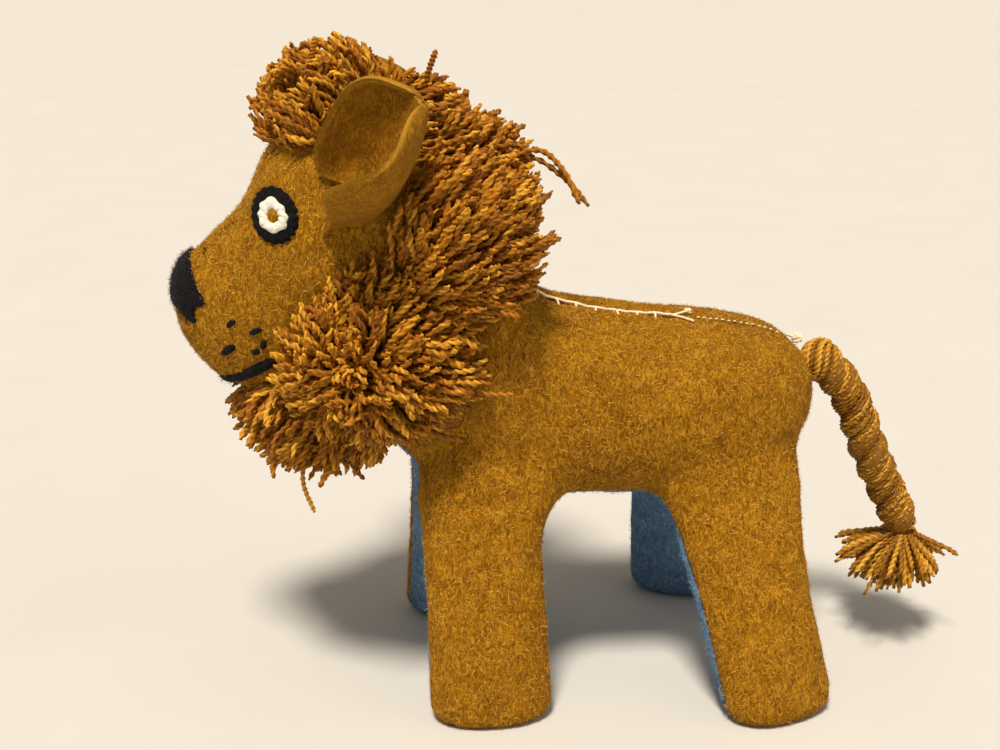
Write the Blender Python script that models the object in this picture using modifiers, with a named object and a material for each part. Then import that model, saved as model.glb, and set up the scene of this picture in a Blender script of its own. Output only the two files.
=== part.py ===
"""A stuffed felt toy lion with a yarn mane and a wound yarn tail.

The lion faces -X, its left side is towards -Y and it stands on the plane z = 0.
All driving dimensions are in millimetres and are turned into metres as meshes are made.
"""
import math

import bmesh
import bpy
import numpy as np
from mathutils import Matrix, Vector

MM = 0.001
GAP = 0.3                 # clearance kept between touching pieces
FELT = 2.0                # thickness of the wool felt

# Stations of the head and trunk along the body: x, top z, bottom z, half width.
TRUNK_STATIONS = (
    (-94.4, 127.0, 120.0, 5.0),
    (-92.0, 133.0, 112.0, 10.5),
    (-84.0, 140.5, 101.0, 15.0),
    (-74.0, 150.0, 96.0, 18.5),
    (-66.0, 165.0, 96.0, 22.0),
    (-54.0, 176.0, 92.0, 25.5),
    (-38.0, 178.0, 82.0, 27.5),
    (-22.0, 171.0, 66.5, 28.0),
    (-6.0, 149.0, 61.0, 28.5),
    (8.0, 125.0, 60.0, 29.5),
    (24.0, 118.0, 59.5, 30.5),
    (48.0, 114.5, 59.5, 31.5),
    (70.0, 111.5, 62.0, 30.5),
    (83.5, 108.0, 68.0, 25.5),
    (92.0, 101.5, 76.0, 17.0),
    (95.7, 93.0, 86.0, 6.0),
)
TRUNK_POWER = 2.4         # exponent of the superellipse sections, 2 is an ellipse
FINE = (24, 2, 16)        # sides of the trunk, rings per station and sides of a leg, for the outer skin
PLAIN = (16, 1, 12)       # and for what lies inside it

# Stations of one leg from the sole up: z, centre x, centre y, half length, half thickness, toe-out.
FRONT_LEG_STATIONS = (
    (0.0, -7.0, 34.0, 15.0, 8.5, 0.0),
    (3.0, -7.0, 34.0, 17.8, 11.0, 0.0),
    (9.0, -7.0, 33.0, 18.4, 12.0, 0.0),
    (30.0, -7.5, 29.5, 17.8, 12.3, 0.0),
    (50.0, -8.0, 24.0, 18.0, 12.8, 0.0),
    (60.0, -7.0, 20.5, 20.0, 13.3, 0.0),
    (68.0, -4.5, 18.0, 23.0, 13.5, 0.0),
    (80.0, -3.0, 15.0, 20.0, 12.5, 0.0),
    (92.0, -2.0, 13.0, 16.0, 10.0, 0.0),
)
REAR_LEG_STATIONS = (
    (0.0, 79.0, 42.0, 14.5, 8.5, 18.0),
    (3.0, 78.5, 42.0, 17.2, 11.0, 18.0),
    (9.0, 77.5, 41.0, 18.0, 12.0, 17.0),
    (30.0, 73.0, 35.5, 17.8, 12.3, 12.0),
    (50.0, 69.4, 27.0, 19.3, 12.8, 6.0),
    (60.0, 67.8, 22.5, 21.2, 13.3, 3.0),
    (68.0, 66.0, 19.0, 23.4, 13.5, 1.0),
    (80.0, 66.0, 15.0, 22.0, 12.5, 0.0),
)
LEG_POWER = 2.2
# How far each right foot stands forward and out of its mirrored place; it fades out up the leg.
RIGHT_FOOT_SHIFT = {"front": (-3.0, 2.0), "rear": (-9.0, 0.0)}
SHIFT_TOP = 62.0

# The blue underbody: x, z of its ridge inside the body, half width and z at the belly seam,
# half width at the shin and half width at the sole.
UNDERBODY_STATIONS = (
    (-50.0, 92.0, 2.0, 87.0, 3.0, 4.0),
    (-32.0, 86.0, 17.0, 70.0, 29.0, 34.0),
    (20.0, 82.0, 24.5, 64.0, 29.5, 34.0),
    (48.0, 82.0, 24.5, 64.0, 42.0, 50.5),
    (86.0, 85.0, 16.0, 69.0, 32.0, 40.0),
    (97.0, 84.0, 2.5, 79.0, 27.5, 36.0),
)
SHIN_Z = 30.0
BELOW_SOLE = -4.0

# The strip of felt over the muzzle and crown: x, its underside inside the head, half width.
HEAD_STRIP_STATIONS = (
    (-100.0, 128.0, 7.0),
    (-80.0, 130.0, 8.0),
    (-60.0, 145.0, 9.5),
    (-20.0, 150.0, 8.0),
    (4.0, 116.0, 3.0),
)
HEAD_STRIP_TOP = 190.0

BACK_SEAM_Y = -5.0        # the back seam has rolled towards the left
NECK_X = -14.0            # where the head wad meets the body wad
LEG_WAD_TOP = 59.0        # where the leg wads meet the body wad
MID_BODY_X = 30.0

# Yarn pompoms of the mane: name, centre, radii. A side pompom is made for each side.
SIDE_POMPOMS = (
    ("mane_lower", (-35.0, 27.0, 111.0), (29.0, 18.0, 26.0)),
    ("mane_upper", (-12.0, 26.0, 144.0), (23.0, 18.0, 25.0)),
)
CENTRE_POMPOMS = (
    ("mane_throat", (-53.0, 0.0, 90.0), (28.0, 28.0, 21.0)),
    ("mane_nape", (-6.0, 0.0, 148.0), (17.0, 20.0, 22.0)),
    ("mane_crown", (-22.0, 0.0, 168.0), (18.0, 22.0, 19.0)),
    ("mane_forelock", (-48.0, 0.0, 176.0), (22.0, 24.0, 21.0)),
)

# Ear petal: the foot of its crease on the head's side, the way its crease runs and the way its
# cup faces, for the right ear. Across, it is a narrow U: how deep and how far apart its edges are.
EAR_FOOT = (-37.0, 26.0, 151.0)
EAR_ALONG = (0.478, 0.149, 0.866)
EAR_FACING = (-0.791, 0.502, 0.350)
EAR_LENGTH = 34.0
EAR_DEPTH = (18.0, 20.5)  # at the foot and where the petal is widest
EAR_SPREAD = (4.5, 11.2)  # half the space between its edges, at the same places
EAR_WIDEST = 0.35         # share of the length at which the petal is widest
EAR_CURL = 105.0          # degrees that each half turns from the crease to its edge
EAR_TIP_POWER = 2.9       # exponent of the superellipse that rounds the tip
EAR_NOD = 4.5             # how far the tip leans over forwards
EAR_NEAR_SHORTER = 0.26   # the outer flap's upper half stops short by this share of its depth
EAR_SHOULDER = 0.42       # and its lower half stands further forward by this share
EAR_NEAR_WIDER = 5.5      # it bulges outwards by this much halfway up
EAR_NEAR_FOOT = 0.2       # and its sewn foot is shorter by this share
EAR_LOW_END = 6.0         # how far the outer flap's sewn end runs down the cheek
EAR_SEWN_RISE = 0.45      # share of the length over which the petal comes away from the head
EAR_SEWN_LINE = (0.92, 0.0, -0.38)  # back along the head from the front of the sewn foot
EAR_BACK = 8.0            # degrees the ear folds in towards the crown
EAR_OUT = 25.0            # degrees it folds out and down

# Face embroidery, on the left cheek and mirrored on the right.
EYE_CENTRE = (-64.0, 150.0)
EYE_HALF = (6.5, 7.7)
EYE_RING_HALF = (4.1, 4.8)
EYE_HOLE_HALF = (1.7, 2.2)
# The nose seen from the side: a cap over the muzzle's tip with two points on each cheek.
NOSE_OUTLINE = ((-100.0, 138.5), (-89.0, 136.4), (-88.0, 131.5), (-86.4, 127.6), (-84.4, 124.4),
                (-87.6, 123.0), (-87.4, 118.0), (-90.4, 119.4), (-92.2, 121.6), (-94.0, 122.6),
                (-100.0, 122.6))
MOUTH_FRONT = (-81.5, 99.6)
MOUTH_CORNER = (-67.4, 107.2)
MOUTH_HALF_THICK = 1.3
# Whisker stitches: x, z, half length, half width, degrees its front end drops.
WHISKERS = (
    (-77.8, 119.3, 1.9, 1.0, 45.0),
    (-71.2, 117.3, 2.0, 0.9, 25.0),
    (-79.3, 111.1, 2.6, 1.3, 38.0),
    (-71.4, 111.0, 1.3, 1.0, 20.0),
    (-69.2, 113.4, 1.6, 0.9, 75.0),
)

# Cream sewing on the back.
CLOSING_FROM = 9.0
CLOSING_TO = 51.0
CLOSING_Y = BACK_SEAM_Y - 0.5
THREAD_HALF = 0.45
TOOTH_SPACING = 6.0
TOOTH_LENGTH = 2.6
FORK_LENGTH = 5.5
FORK_SPREAD = 5.0
RUNNING_TO = 84.0
RUMP_KNOT = (90.5, BACK_SEAM_Y, 105.5)
RUMP_KNOT_RADIUS = 1.9

# Tail: a knot on the rump, a wound rope in two lengths, a whipping and a tassel.
KNOT_CENTRE = (100.4, 0.0, 96.5)
KNOT_RADIUS = 6.2
ROPE_RADIUS = 5.5
ROPE_ROUTE = ((100.4, 96.5), (108.5, 88.0), (113.5, 78.5), (117.5, 68.5), (122.5, 58.0),
              (128.0, 47.5), (132.5, 38.5))
ROPE_BEND_INDEX = 3       # the route point where the rope flexes
WHIPPING_RADIUS = 5.2
# Rings of the tassel from its neck down: height below the rope's end, offset in x, radius.
TASSEL_RINGS = ((2.0, -0.3, 4.6), (4.5, -1.0, 8.0), (7.5, -2.0, 14.0), (11.5, -3.2, 18.0),
                (16.0, -4.0, 17.0), (20.5, -4.5, 12.0), (22.5, -4.5, 4.0))
TASSEL_SIDES = 16

MUSTARD = (0.40, 0.17, 0.012)
YARN = (0.33, 0.13, 0.012)
TAIL_YARN = (0.42, 0.20, 0.03)
BLUE = (0.11, 0.22, 0.36)
BLACK = (0.012, 0.012, 0.015)
WHITE = (0.80, 0.78, 0.72)
CREAM = (0.82, 0.68, 0.38)
STUFFING = (0.75, 0.73, 0.68)


def clear_scene():
    for old in list(bpy.data.objects):
        bpy.data.objects.remove(old, do_unlink=True)


def new_collection(name):
    group = bpy.data.collections.new(name)
    bpy.context.scene.collection.children.link(group)
    return group


def felt_material(name, colour, roughness):
    material = bpy.data.materials.new(name)
    material.use_nodes = True
    shader = material.node_tree.nodes["Principled BSDF"]
    shader.inputs["Base Color"].default_value = (*colour, 1.0)
    shader.inputs["Roughness"].default_value = roughness
    shader.inputs["Metallic"].default_value = 0.0
    material.diffuse_color = (*colour, 1.0)
    return material


clear_scene()
LION = new_collection("felt_lion")
CUTTERS = new_collection("cutters")


def mesh_object(name, bm, group):
    """Turn a bmesh in millimetres into an object in metres."""
    bmesh.ops.scale(bm, vec=(MM, MM, MM), verts=bm.verts)
    bmesh.ops.recalc_face_normals(bm, faces=bm.faces)
    mesh = bpy.data.meshes.new(name)
    bm.to_mesh(mesh)
    bm.free()
    mesh.shade_smooth()
    mesh.set_sharp_from_angle(angle=math.radians(40.0))
    made = bpy.data.objects.new(name, mesh)
    group.objects.link(made)
    if group is CUTTERS:
        made.hide_render = True
        made.display_type = "WIRE"
    return made


def dress(piece, colour, roughness=0.95):
    piece.data.materials.clear()
    piece.data.materials.append(felt_material(piece.name, colour, roughness))
    return piece


def boolean(piece, other, operation="DIFFERENCE", solver="EXACT"):
    step = piece.modifiers.new(f"{operation.lower()} {other.name}"[:60], "BOOLEAN")
    step.operation = operation
    step.solver = solver
    step.object = other
    return piece


def twin(piece, name, group):
    """A second object on the same mesh, with no modifiers."""
    made = bpy.data.objects.new(name, piece.data.copy())
    group.objects.link(made)
    return made


def set_origin(piece, point):
    """Move an object's origin to a point in millimetres without moving its surface."""
    offset = Vector(point) * MM
    piece.data.transform(Matrix.Translation(-offset))
    piece.location = offset


def superellipse(sides, half_a, half_b, power):
    """Points of |a/half_a|^power + |b/half_b|^power = 1, evenly spaced in angle."""
    angle = np.arange(sides) * 2.0 * math.pi / sides
    cos, sin = np.cos(angle), np.sin(angle)
    a = half_a * np.sign(cos) * np.abs(cos) ** (2.0 / power)
    b = half_b * np.sign(sin) * np.abs(sin) ** (2.0 / power)
    return np.column_stack([a, b])


def through(rows, per_span):
    """Rows of a smooth Catmull-Rom curve through the given rows."""
    rows = np.array(rows, float)
    padded = np.vstack([2 * rows[0] - rows[1], rows, 2 * rows[-1] - rows[-2]])
    out = []
    for i in range(len(rows) - 1):
        p0, p1, p2, p3 = padded[i:i + 4]
        for t in np.arange(per_span) / per_span:
            out.append(p1 + 0.5 * t * (p2 - p0 + t * (2 * p0 - 5 * p1 + 4 * p2 - p3
                                                      + t * (3 * (p1 - p2) + p3 - p0))))
    out.append(rows[-1])
    return np.array(out)


def loft(name, rings, group):
    """A closed solid through rings of points that all have the same count.

    Its sides are split the same way in every loft, so that one loft stays inside another.
    """
    bm = bmesh.new()
    loops = [[bm.verts.new(point) for point in ring] for ring in rings]
    for lower, upper in zip(loops, loops[1:]):
        for i, vert in enumerate(lower):
            j = (i + 1) % len(lower)
            bm.faces.new((vert, lower[j], upper[j]))
            bm.faces.new((vert, upper[j], upper[i]))
    bm.faces.new(loops[0])
    bm.faces.new(reversed(loops[-1]))
    return mesh_object(name, bm, group)


def trunk(name, grow, group, detail=FINE):
    """Head and trunk, with every wall moved out by grow."""
    sides, per_span, _ = detail
    rows = through(TRUNK_STATIONS, per_span)
    nose, rump = rows[0, 0], rows[-1, 0]
    rings = []
    for x, top, bottom, half_width in rows:
        stretch = (2.0 * (x - nose) / (rump - nose) - 1.0) * grow
        section = superellipse(sides, half_width + grow, (top - bottom) / 2.0 + grow, TRUNK_POWER)
        rings.append([(x + stretch, y, (top + bottom) / 2.0 + z) for y, z in section])
    return loft(name, rings, group)


def leg(name, stations, side, grow, group, detail=FINE):
    """One leg on the left (side -1) or right (side 1), with every wall moved out by grow."""
    _, _, sides = detail
    rings = []
    sole = stations[0][0]
    for z, x, y, half_length, half_thick, toe_out in stations:
        turn = math.radians(-side * toe_out)
        if side > 0:
            forward, out = RIGHT_FOOT_SHIFT["front" if x < MID_BODY_X else "rear"]
            fade = max(0.0, 1.0 - z / SHIFT_TOP)
            x, y = x + forward * fade, y + out * fade
        height = z if z > sole else sole - grow
        for_ring = superellipse(sides, half_length + grow, half_thick + grow, LEG_POWER)
        rings.append([(x + a * math.cos(turn) - b * math.sin(turn),
                       side * y + a * math.sin(turn) + b * math.cos(turn), height)
                      for a, b in for_ring])
    return loft(name, rings, group)


def body_form(name, grow, group, detail=FINE):
    """The stuffed body: the trunk joined to its four legs."""
    body = trunk(name, grow, group, detail)
    for end, stations in (("front", FRONT_LEG_STATIONS), ("rear", REAR_LEG_STATIONS)):
        for side, hand in ((-1, "left"), (1, "right")):
            limb = leg(f"{name}_{end}_{hand}_leg", stations, side, grow, CUTTERS, detail)
            boolean(body, limb, "UNION", "MANIFOLD")
    return body


def underbody_region(name, grow):
    """The space between the leg seams, a wedge whose ridge lies inside the body."""
    rings = []
    for x, ridge, belly, belly_z, shin, foot in UNDERBODY_STATIONS:
        half = [(foot, BELOW_SOLE), (shin, SHIN_Z), (belly, belly_z)]
        right = [(x, y + grow, z) for y, z in half]
        left = [(x, -y - grow, z) for y, z in reversed(half)]
        rings.append(right + [(x, 0.0, ridge + grow)] + left)
    return loft(name, rings, CUTTERS)


def head_strip_region(name, grow):
    rings = []
    for x, underside, half_width in HEAD_STRIP_STATIONS:
        half = half_width + grow
        end = x + grow * (x > 0.0)
        rings.append([(end, -half, underside), (end, half, underside),
                      (end, half, HEAD_STRIP_TOP), (end, -half, HEAD_STRIP_TOP)])
    return loft(name, rings, CUTTERS)


def block(name, low, high, group=None):
    """A box between two corners."""
    bm = bmesh.new()
    bmesh.ops.create_cube(bm, size=1.0)
    low, high = Vector(low), Vector(high)
    bmesh.ops.scale(bm, vec=high - low, verts=bm.verts)
    bmesh.ops.translate(bm, vec=(low + high) / 2.0, verts=bm.verts)
    return mesh_object(name, bm, group or CUTTERS)


def ellipsoid(name, centre, radii, group, segments=14, rings=8, turn=None):
    bm = bmesh.new()
    bmesh.ops.create_uvsphere(bm, u_segments=segments, v_segments=rings, radius=1.0)
    bmesh.ops.scale(bm, vec=radii, verts=bm.verts)
    if turn is not None:
        bmesh.ops.rotate(bm, matrix=turn, verts=bm.verts)
    bmesh.ops.translate(bm, vec=centre, verts=bm.verts)
    return mesh_object(name, bm, group)


def prism(name, outline, to_3d, group=None):
    """A flat outline given depth: to_3d maps (a, b, 0 or 1) to a point."""
    bm = bmesh.new()
    ends = [[bm.verts.new(to_3d(a, b, end)) for a, b in outline] for end in (0, 1)]
    for i in range(len(outline)):
        j = (i + 1) % len(outline)
        bm.faces.new((ends[0][i], ends[0][j], ends[1][j], ends[1][i]))
    bm.faces.new(reversed(ends[0]))
    bm.faces.new(ends[1])
    return mesh_object(name, bm, group or CUTTERS)


HALF = GAP / 2.0
FAR = 130.0
HIGH = 230.0
OUTSIDE = body_form("outside", 0.0, CUTTERS)
INSIDE = body_form("inside", -FELT, CUTTERS, PLAIN)
WAD_FORM = body_form("wad_form", -FELT - GAP, CUTTERS, PLAIN)
SKIN_CLEARANCE = trunk("skin_clearance", GAP, CUTTERS)
LEFT_HALF = block("left_half", (-FAR, -FAR, -10.0), (FAR, BACK_SEAM_Y - HALF, HIGH))
RIGHT_HALF = block("right_half", (-FAR, BACK_SEAM_Y + HALF, -10.0), (FAR, FAR, HIGH))
UNDERBODY_WIDE = underbody_region("underbody_wide", HALF)
UNDERBODY_NARROW = underbody_region("underbody_narrow", -HALF)
STRIP_WIDE = head_strip_region("strip_wide", HALF)
STRIP_NARROW = head_strip_region("strip_narrow", -HALF)
KNOT_SEAT = ellipsoid("knot_seat", KNOT_CENTRE, (KNOT_RADIUS + GAP,) * 3, CUTTERS)


def copy_of(form, name, group=None):
    """An independent object with the form's mesh and its modifiers."""
    made = form.copy()
    made.name = name
    made.data = form.data.copy()
    made.data.name = name
    (group or LION).objects.link(made)
    made.hide_render = group is CUTTERS
    made.display_type = "WIRE" if group is CUTTERS else "TEXTURED"
    return made


def build_skin():
    """Four pieces of felt: two side panels, the underbody and the head strip."""
    for hand, half in (("left", LEFT_HALF), ("right", RIGHT_HALF)):
        panel = copy_of(OUTSIDE, f"side_panel_{hand}")
        boolean(panel, INSIDE, solver="MANIFOLD")
        boolean(panel, half, "INTERSECT", "MANIFOLD")
        for space in (UNDERBODY_WIDE, STRIP_WIDE, KNOT_SEAT):
            boolean(panel, space, solver="MANIFOLD")
        dress(panel, MUSTARD)
    gusset = copy_of(OUTSIDE, "underbody_gusset")
    boolean(gusset, INSIDE, solver="MANIFOLD")
    boolean(gusset, UNDERBODY_NARROW, "INTERSECT", "MANIFOLD")
    dress(gusset, BLUE)
    strip = copy_of(OUTSIDE, "head_gusset")
    boolean(strip, INSIDE)
    boolean(strip, STRIP_NARROW, "INTERSECT")
    dress(strip, MUSTARD)


def build_stuffing():
    """One wad of filling for the head, the body and each leg."""
    spaces = {
        "stuffing_head": ((-FAR, -FAR, LEG_WAD_TOP + GAP), (NECK_X - GAP, FAR, HIGH)),
        "stuffing_body": ((NECK_X, -FAR, LEG_WAD_TOP + GAP), (FAR, FAR, HIGH)),
    }
    for end, low_x, high_x in (("front", -FAR, MID_BODY_X), ("rear", MID_BODY_X, FAR)):
        for hand, low_y, high_y in (("left", -FAR, 0.0), ("right", 0.0, FAR)):
            spaces[f"stuffing_{end}_leg_{hand}"] = ((low_x, low_y, -10.0), (high_x, high_y, LEG_WAD_TOP))
    for name, (low, high) in spaces.items():
        wad = copy_of(WAD_FORM, name)
        boolean(wad, block(f"{name}_space", low, high), "INTERSECT", "MANIFOLD")
        dress(wad, STUFFING)


def unit(vector):
    return Vector(vector).normalized()


def skin_half_width(x, z):
    """Half the width of the head or trunk at one place on its side."""
    rows = through(TRUNK_STATIONS, 4)
    top, bottom, half_width = (np.interp(x, rows[:, 0], rows[:, column]) for column in (1, 2, 3))
    share = min(1.0, abs(z - (top + bottom) / 2.0) / ((top - bottom) / 2.0))
    return half_width * (1.0 - share ** TRUNK_POWER) ** (1.0 / TRUNK_POWER)


def ear_axis(side):
    """The line that the ear is sewn along and folds about, pointing so that out is positive."""
    return Vector(EAR_SEWN_LINE).normalized() * -side


def ear_points(side, rows=9, columns=13):
    """The middle surface of the petal, as rows from its foot to its tip.

    A row is an arc of a U: its depth grows as 1 - cos and its spread as sin of an angle that
    runs from minus to plus the curl. The outer flap has a shoulder low down, where it stands
    further forward, and is shorter above it. The foot is the same arc laid on the side of the
    head, and the rows above it come away from it by the square of their height.
    """
    along = unit((EAR_ALONG[0], side * EAR_ALONG[1], EAR_ALONG[2]))
    facing = Vector((EAR_FACING[0], side * EAR_FACING[1], EAR_FACING[2]))
    facing = (facing - facing.dot(along) * along).normalized()
    across = along.cross(facing) * -side
    forward = Vector(EAR_SEWN_LINE).normalized()
    upward = Vector((-forward.z, 0.0, forward.x)) * (1.0 if across.z > 0.0 else -1.0)
    foot = Vector((EAR_FOOT[0], side * EAR_FOOT[1], EAR_FOOT[2]))
    curl = math.radians(EAR_CURL)
    grid = []
    for i in range(rows):
        u = math.sin(0.5 * math.pi * 0.97 * i / (rows - 1))
        if u < EAR_WIDEST:
            share = 1.0 - ((EAR_WIDEST - u) / EAR_WIDEST) ** 2
            depth, spread = (low + (high - low) * share for low, high in (EAR_DEPTH, EAR_SPREAD))
        else:
            past = (u - EAR_WIDEST) / (1.0 - EAR_WIDEST)
            share = (1.0 - past ** EAR_TIP_POWER) ** (1.0 / EAR_TIP_POWER)
            depth, spread = EAR_DEPTH[1] * share, EAR_SPREAD[1] * share
        sewn = max(0.0, 1.0 - u / EAR_SEWN_RISE) ** 2
        shoulder = math.exp(-((u - 0.25) / 0.14) ** 2)
        step = min(max((u - 0.35) / 0.4, 0.0), 1.0)
        shorter = EAR_NEAR_SHORTER * step * step * (3.0 - 2.0 * step) - EAR_SHOULDER * shoulder
        row = []
        for j in range(columns):
            angle = curl * (2.0 * j / (columns - 1) - 1.0)
            near = abs(angle) / curl if angle * across.y * side > 0.0 else 0.0
            wide = spread + EAR_NEAR_WIDER * near * math.sin(math.pi * u)
            deep = depth * (1.0 - shorter * near ** 2)
            reach = (1.0 - math.cos(angle)) / (1.0 - math.cos(curl))
            free = wide * math.sin(angle) * across + deep * reach * facing
            foot_free = EAR_SPREAD[0] * math.sin(angle) * across + EAR_DEPTH[0] * reach * facing
            sewn_depth = EAR_DEPTH[0] * reach * (1.0 - EAR_NEAR_FOOT * near ** 2)
            laid = foot - sewn_depth * forward + EAR_SPREAD[0] * math.sin(angle) * upward
            if near > 0.0:
                laid = laid - reach ** 2 * EAR_LOW_END * Vector((-0.1, 0.0, 1.0))
            laid.y = side * float(skin_half_width(laid.x, laid.z) + FELT / 2.0)
            nod = EAR_NOD * u ** 3 * facing
            row.append(foot + EAR_LENGTH * u * along + free + nod + sewn * (laid - foot - foot_free))
        grid.append(row)
    return grid


def ear_sheet(name, side, group):
    bm = bmesh.new()
    grid = [[bm.verts.new(point) for point in row] for row in ear_points(side)]
    for lower, upper in zip(grid, grid[1:]):
        for i in range(len(lower) - 1):
            bm.faces.new((lower[i], lower[i + 1], upper[i + 1], upper[i]))
    return mesh_object(name, bm, group)


def ear_turn(side, degrees):
    """The movement of the ear folded by an angle, in metres."""
    foot = Vector((EAR_FOOT[0], side * EAR_FOOT[1], EAR_FOOT[2])) * MM
    turn = Matrix.Rotation(math.radians(degrees), 4, ear_axis(side))
    return Matrix.Translation(foot) @ turn @ Matrix.Translation(-foot)


def build_ears():
    """Two cupped petals, trimmed where they would press into the head as they fold."""
    for side, hand in ((-1, "left"), (1, "right")):
        ear = ear_sheet(f"ear_{hand}", side, LION)
        wall = ear.modifiers.new("felt", "SOLIDIFY")
        wall.thickness = FELT * MM
        wall.offset = 0.0
        boolean(ear, SKIN_CLEARANCE, solver="MANIFOLD")
        for limit in (-EAR_BACK, EAR_OUT):
            moved = twin(SKIN_CLEARANCE, f"head_seen_by_{hand}_ear_at_{limit:.0f}", CUTTERS)
            moved.data.transform(ear_turn(side, -limit))
            moved.hide_render = True
            moved.display_type = "WIRE"
            boolean(ear, moved, solver="MANIFOLD")
        dress(ear, MUSTARD)


def ear_room(side, hand):
    """A hull round everywhere that the ear reaches, with a little air."""
    points = [Vector(point) for row in ear_points(side) for point in row]
    middle = sum(points, Vector()) / len(points)
    bm = bmesh.new()
    for degrees in (-EAR_BACK, 0.0, EAR_OUT):
        turn = ear_turn(side, degrees)
        for point in points:
            away = (point - middle).normalized() * (FELT / 2.0 + 1.0)
            bm.verts.new((turn @ ((point + away) * MM)) / MM)
    hull = bmesh.ops.convex_hull(bm, input=bm.verts)
    inner = set(hull["geom_interior"]) | set(hull["geom_unused"])
    spare = [item for item in inner if isinstance(item, bmesh.types.BMVert)]
    bmesh.ops.delete(bm, geom=spare, context="VERTS")
    return mesh_object(f"ear_room_{hand}", bm, CUTTERS)


def build_mane():
    """Yarn pompoms round the face, each pressed flat against the head and its neighbours."""
    rooms = [ear_room(side, hand) for side, hand in ((-1, "left"), (1, "right"))]
    plan = []
    for name, (x, y, z), radii in SIDE_POMPOMS:
        plan.append((f"{name}_left", (x, -y, z), radii))
        plan.append((f"{name}_right", (x, y, z), radii))
    plan.extend(CENTRE_POMPOMS)
    earlier = []
    for name, centre, radii in plan:
        pompom = ellipsoid(name, centre, radii, LION)
        for space in [SKIN_CLEARANCE, *rooms, *earlier]:
            boolean(pompom, space, solver="MANIFOLD")
        dress(pompom, YARN)
        earlier.append(ellipsoid(f"{name}_room", centre, tuple(r + GAP for r in radii), CUTTERS))


def oval(half_x, half_z, count=24):
    angles = np.arange(count) * 2.0 * math.pi / count
    return [(half_x * math.cos(a), half_z * math.sin(a)) for a in angles]


def on_skin(name, region, inner, outer, colour):
    """The part of a region that lies between two heights above the felt."""
    piece = trunk(name, outer, LION)
    boolean(piece, region, "INTERSECT")
    boolean(piece, trunk(f"{name}_underside", inner, CUTTERS))
    return dress(piece, colour)


def build_face():
    """Eyes, nose, mouth and whisker stitches, all lying on the felt."""
    nose = prism("nose_region", NOSE_OUTLINE, lambda a, b, end: (a, -40.0 + 80.0 * end, b))
    on_skin("nose_patch", nose, GAP, 1.5, BLACK)
    front, corner = Vector(MOUTH_FRONT), Vector(MOUTH_CORNER)
    rise = (corner - front).normalized()
    lift = Vector((-rise.y, rise.x)) * MOUTH_HALF_THICK
    front = front - rise * 8.0
    band = [front - lift, corner - lift, corner + lift, front + lift]
    mouth = prism("mouth_region", band, lambda a, b, end: (a, -40.0 + 80.0 * end, b))
    on_skin("mouth_stitch", mouth, GAP, 1.3, BLACK)
    for side, hand in ((-1, "left"), (1, "right")):
        def place(a, b, end, side=side):
            return (EYE_CENTRE[0] + a, side * (8.0 + 22.0 * end), EYE_CENTRE[1] + b)
        disc = prism(f"eye_region_{hand}", oval(*EYE_HALF), place)
        on_skin(f"eye_disc_{hand}", disc, GAP, 1.5, BLACK)
        ring = prism(f"eye_ring_region_{hand}", oval(*EYE_RING_HALF), place)
        hole = prism(f"eye_hole_{hand}", oval(*EYE_HOLE_HALF, 12), place)
        boolean(on_skin(f"eye_ring_{hand}", ring, 1.5 + GAP, 2.8, WHITE), hole)
        for number, (x, z, half_length, half_width, drop) in enumerate(WHISKERS, 1):
            tilt = Matrix.Rotation(math.radians(-drop), 3, "Y")
            spot = ellipsoid(f"whisker_region_{hand}_{number}", (x, side * 18.0, z),
                             (half_length, 14.0, half_width), CUTTERS, 8, 4, tilt)
            on_skin(f"whisker_stitch_{hand}_{number}", spot, GAP, 1.0, BLACK)


def build_back_sewing():
    """The cream closing thread with its cross stitches and fork, and the finer run behind it."""
    outline = [(CLOSING_FROM, CLOSING_Y + THREAD_HALF), (CLOSING_TO, CLOSING_Y + THREAD_HALF),
               (CLOSING_TO + FORK_LENGTH, CLOSING_Y + FORK_SPREAD + THREAD_HALF),
               (CLOSING_TO + FORK_LENGTH, CLOSING_Y + FORK_SPREAD - THREAD_HALF),
               (CLOSING_TO + 1.5, CLOSING_Y),
               (CLOSING_TO + FORK_LENGTH, CLOSING_Y - FORK_SPREAD + THREAD_HALF),
               (CLOSING_TO + FORK_LENGTH, CLOSING_Y - FORK_SPREAD - THREAD_HALF),
               (CLOSING_TO, CLOSING_Y - THREAD_HALF)]
    tooth_count = int((CLOSING_TO - CLOSING_FROM) / TOOTH_SPACING)
    for number in range(tooth_count, 0, -1):
        x = CLOSING_FROM + number * TOOTH_SPACING - TOOTH_SPACING / 2.0
        near = CLOSING_Y - THREAD_HALF
        outline += [(x + THREAD_HALF, near), (x + THREAD_HALF, near - TOOTH_LENGTH),
                    (x - THREAD_HALF, near - TOOTH_LENGTH), (x - THREAD_HALF, near)]
    outline.append((CLOSING_FROM, CLOSING_Y - THREAD_HALF))
    comb = prism("closing_region", outline, lambda a, b, end: (a, b, 100.0 + 60.0 * end))
    on_skin("back_closing_thread", comb, GAP, 1.2, CREAM)
    run = block("running_region", (CLOSING_TO + FORK_LENGTH + 2.0, CLOSING_Y - THREAD_HALF, 100.0),
                (RUNNING_TO, CLOSING_Y + THREAD_HALF, 140.0))
    on_skin("back_running_stitch", run, GAP, 0.9, CREAM)
    knot = ellipsoid("tail_sewing_knot", RUMP_KNOT, (RUMP_KNOT_RADIUS,) * 3, LION, 12, 8)
    boolean(knot, SKIN_CLEARANCE)
    dress(knot, CREAM)


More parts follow.
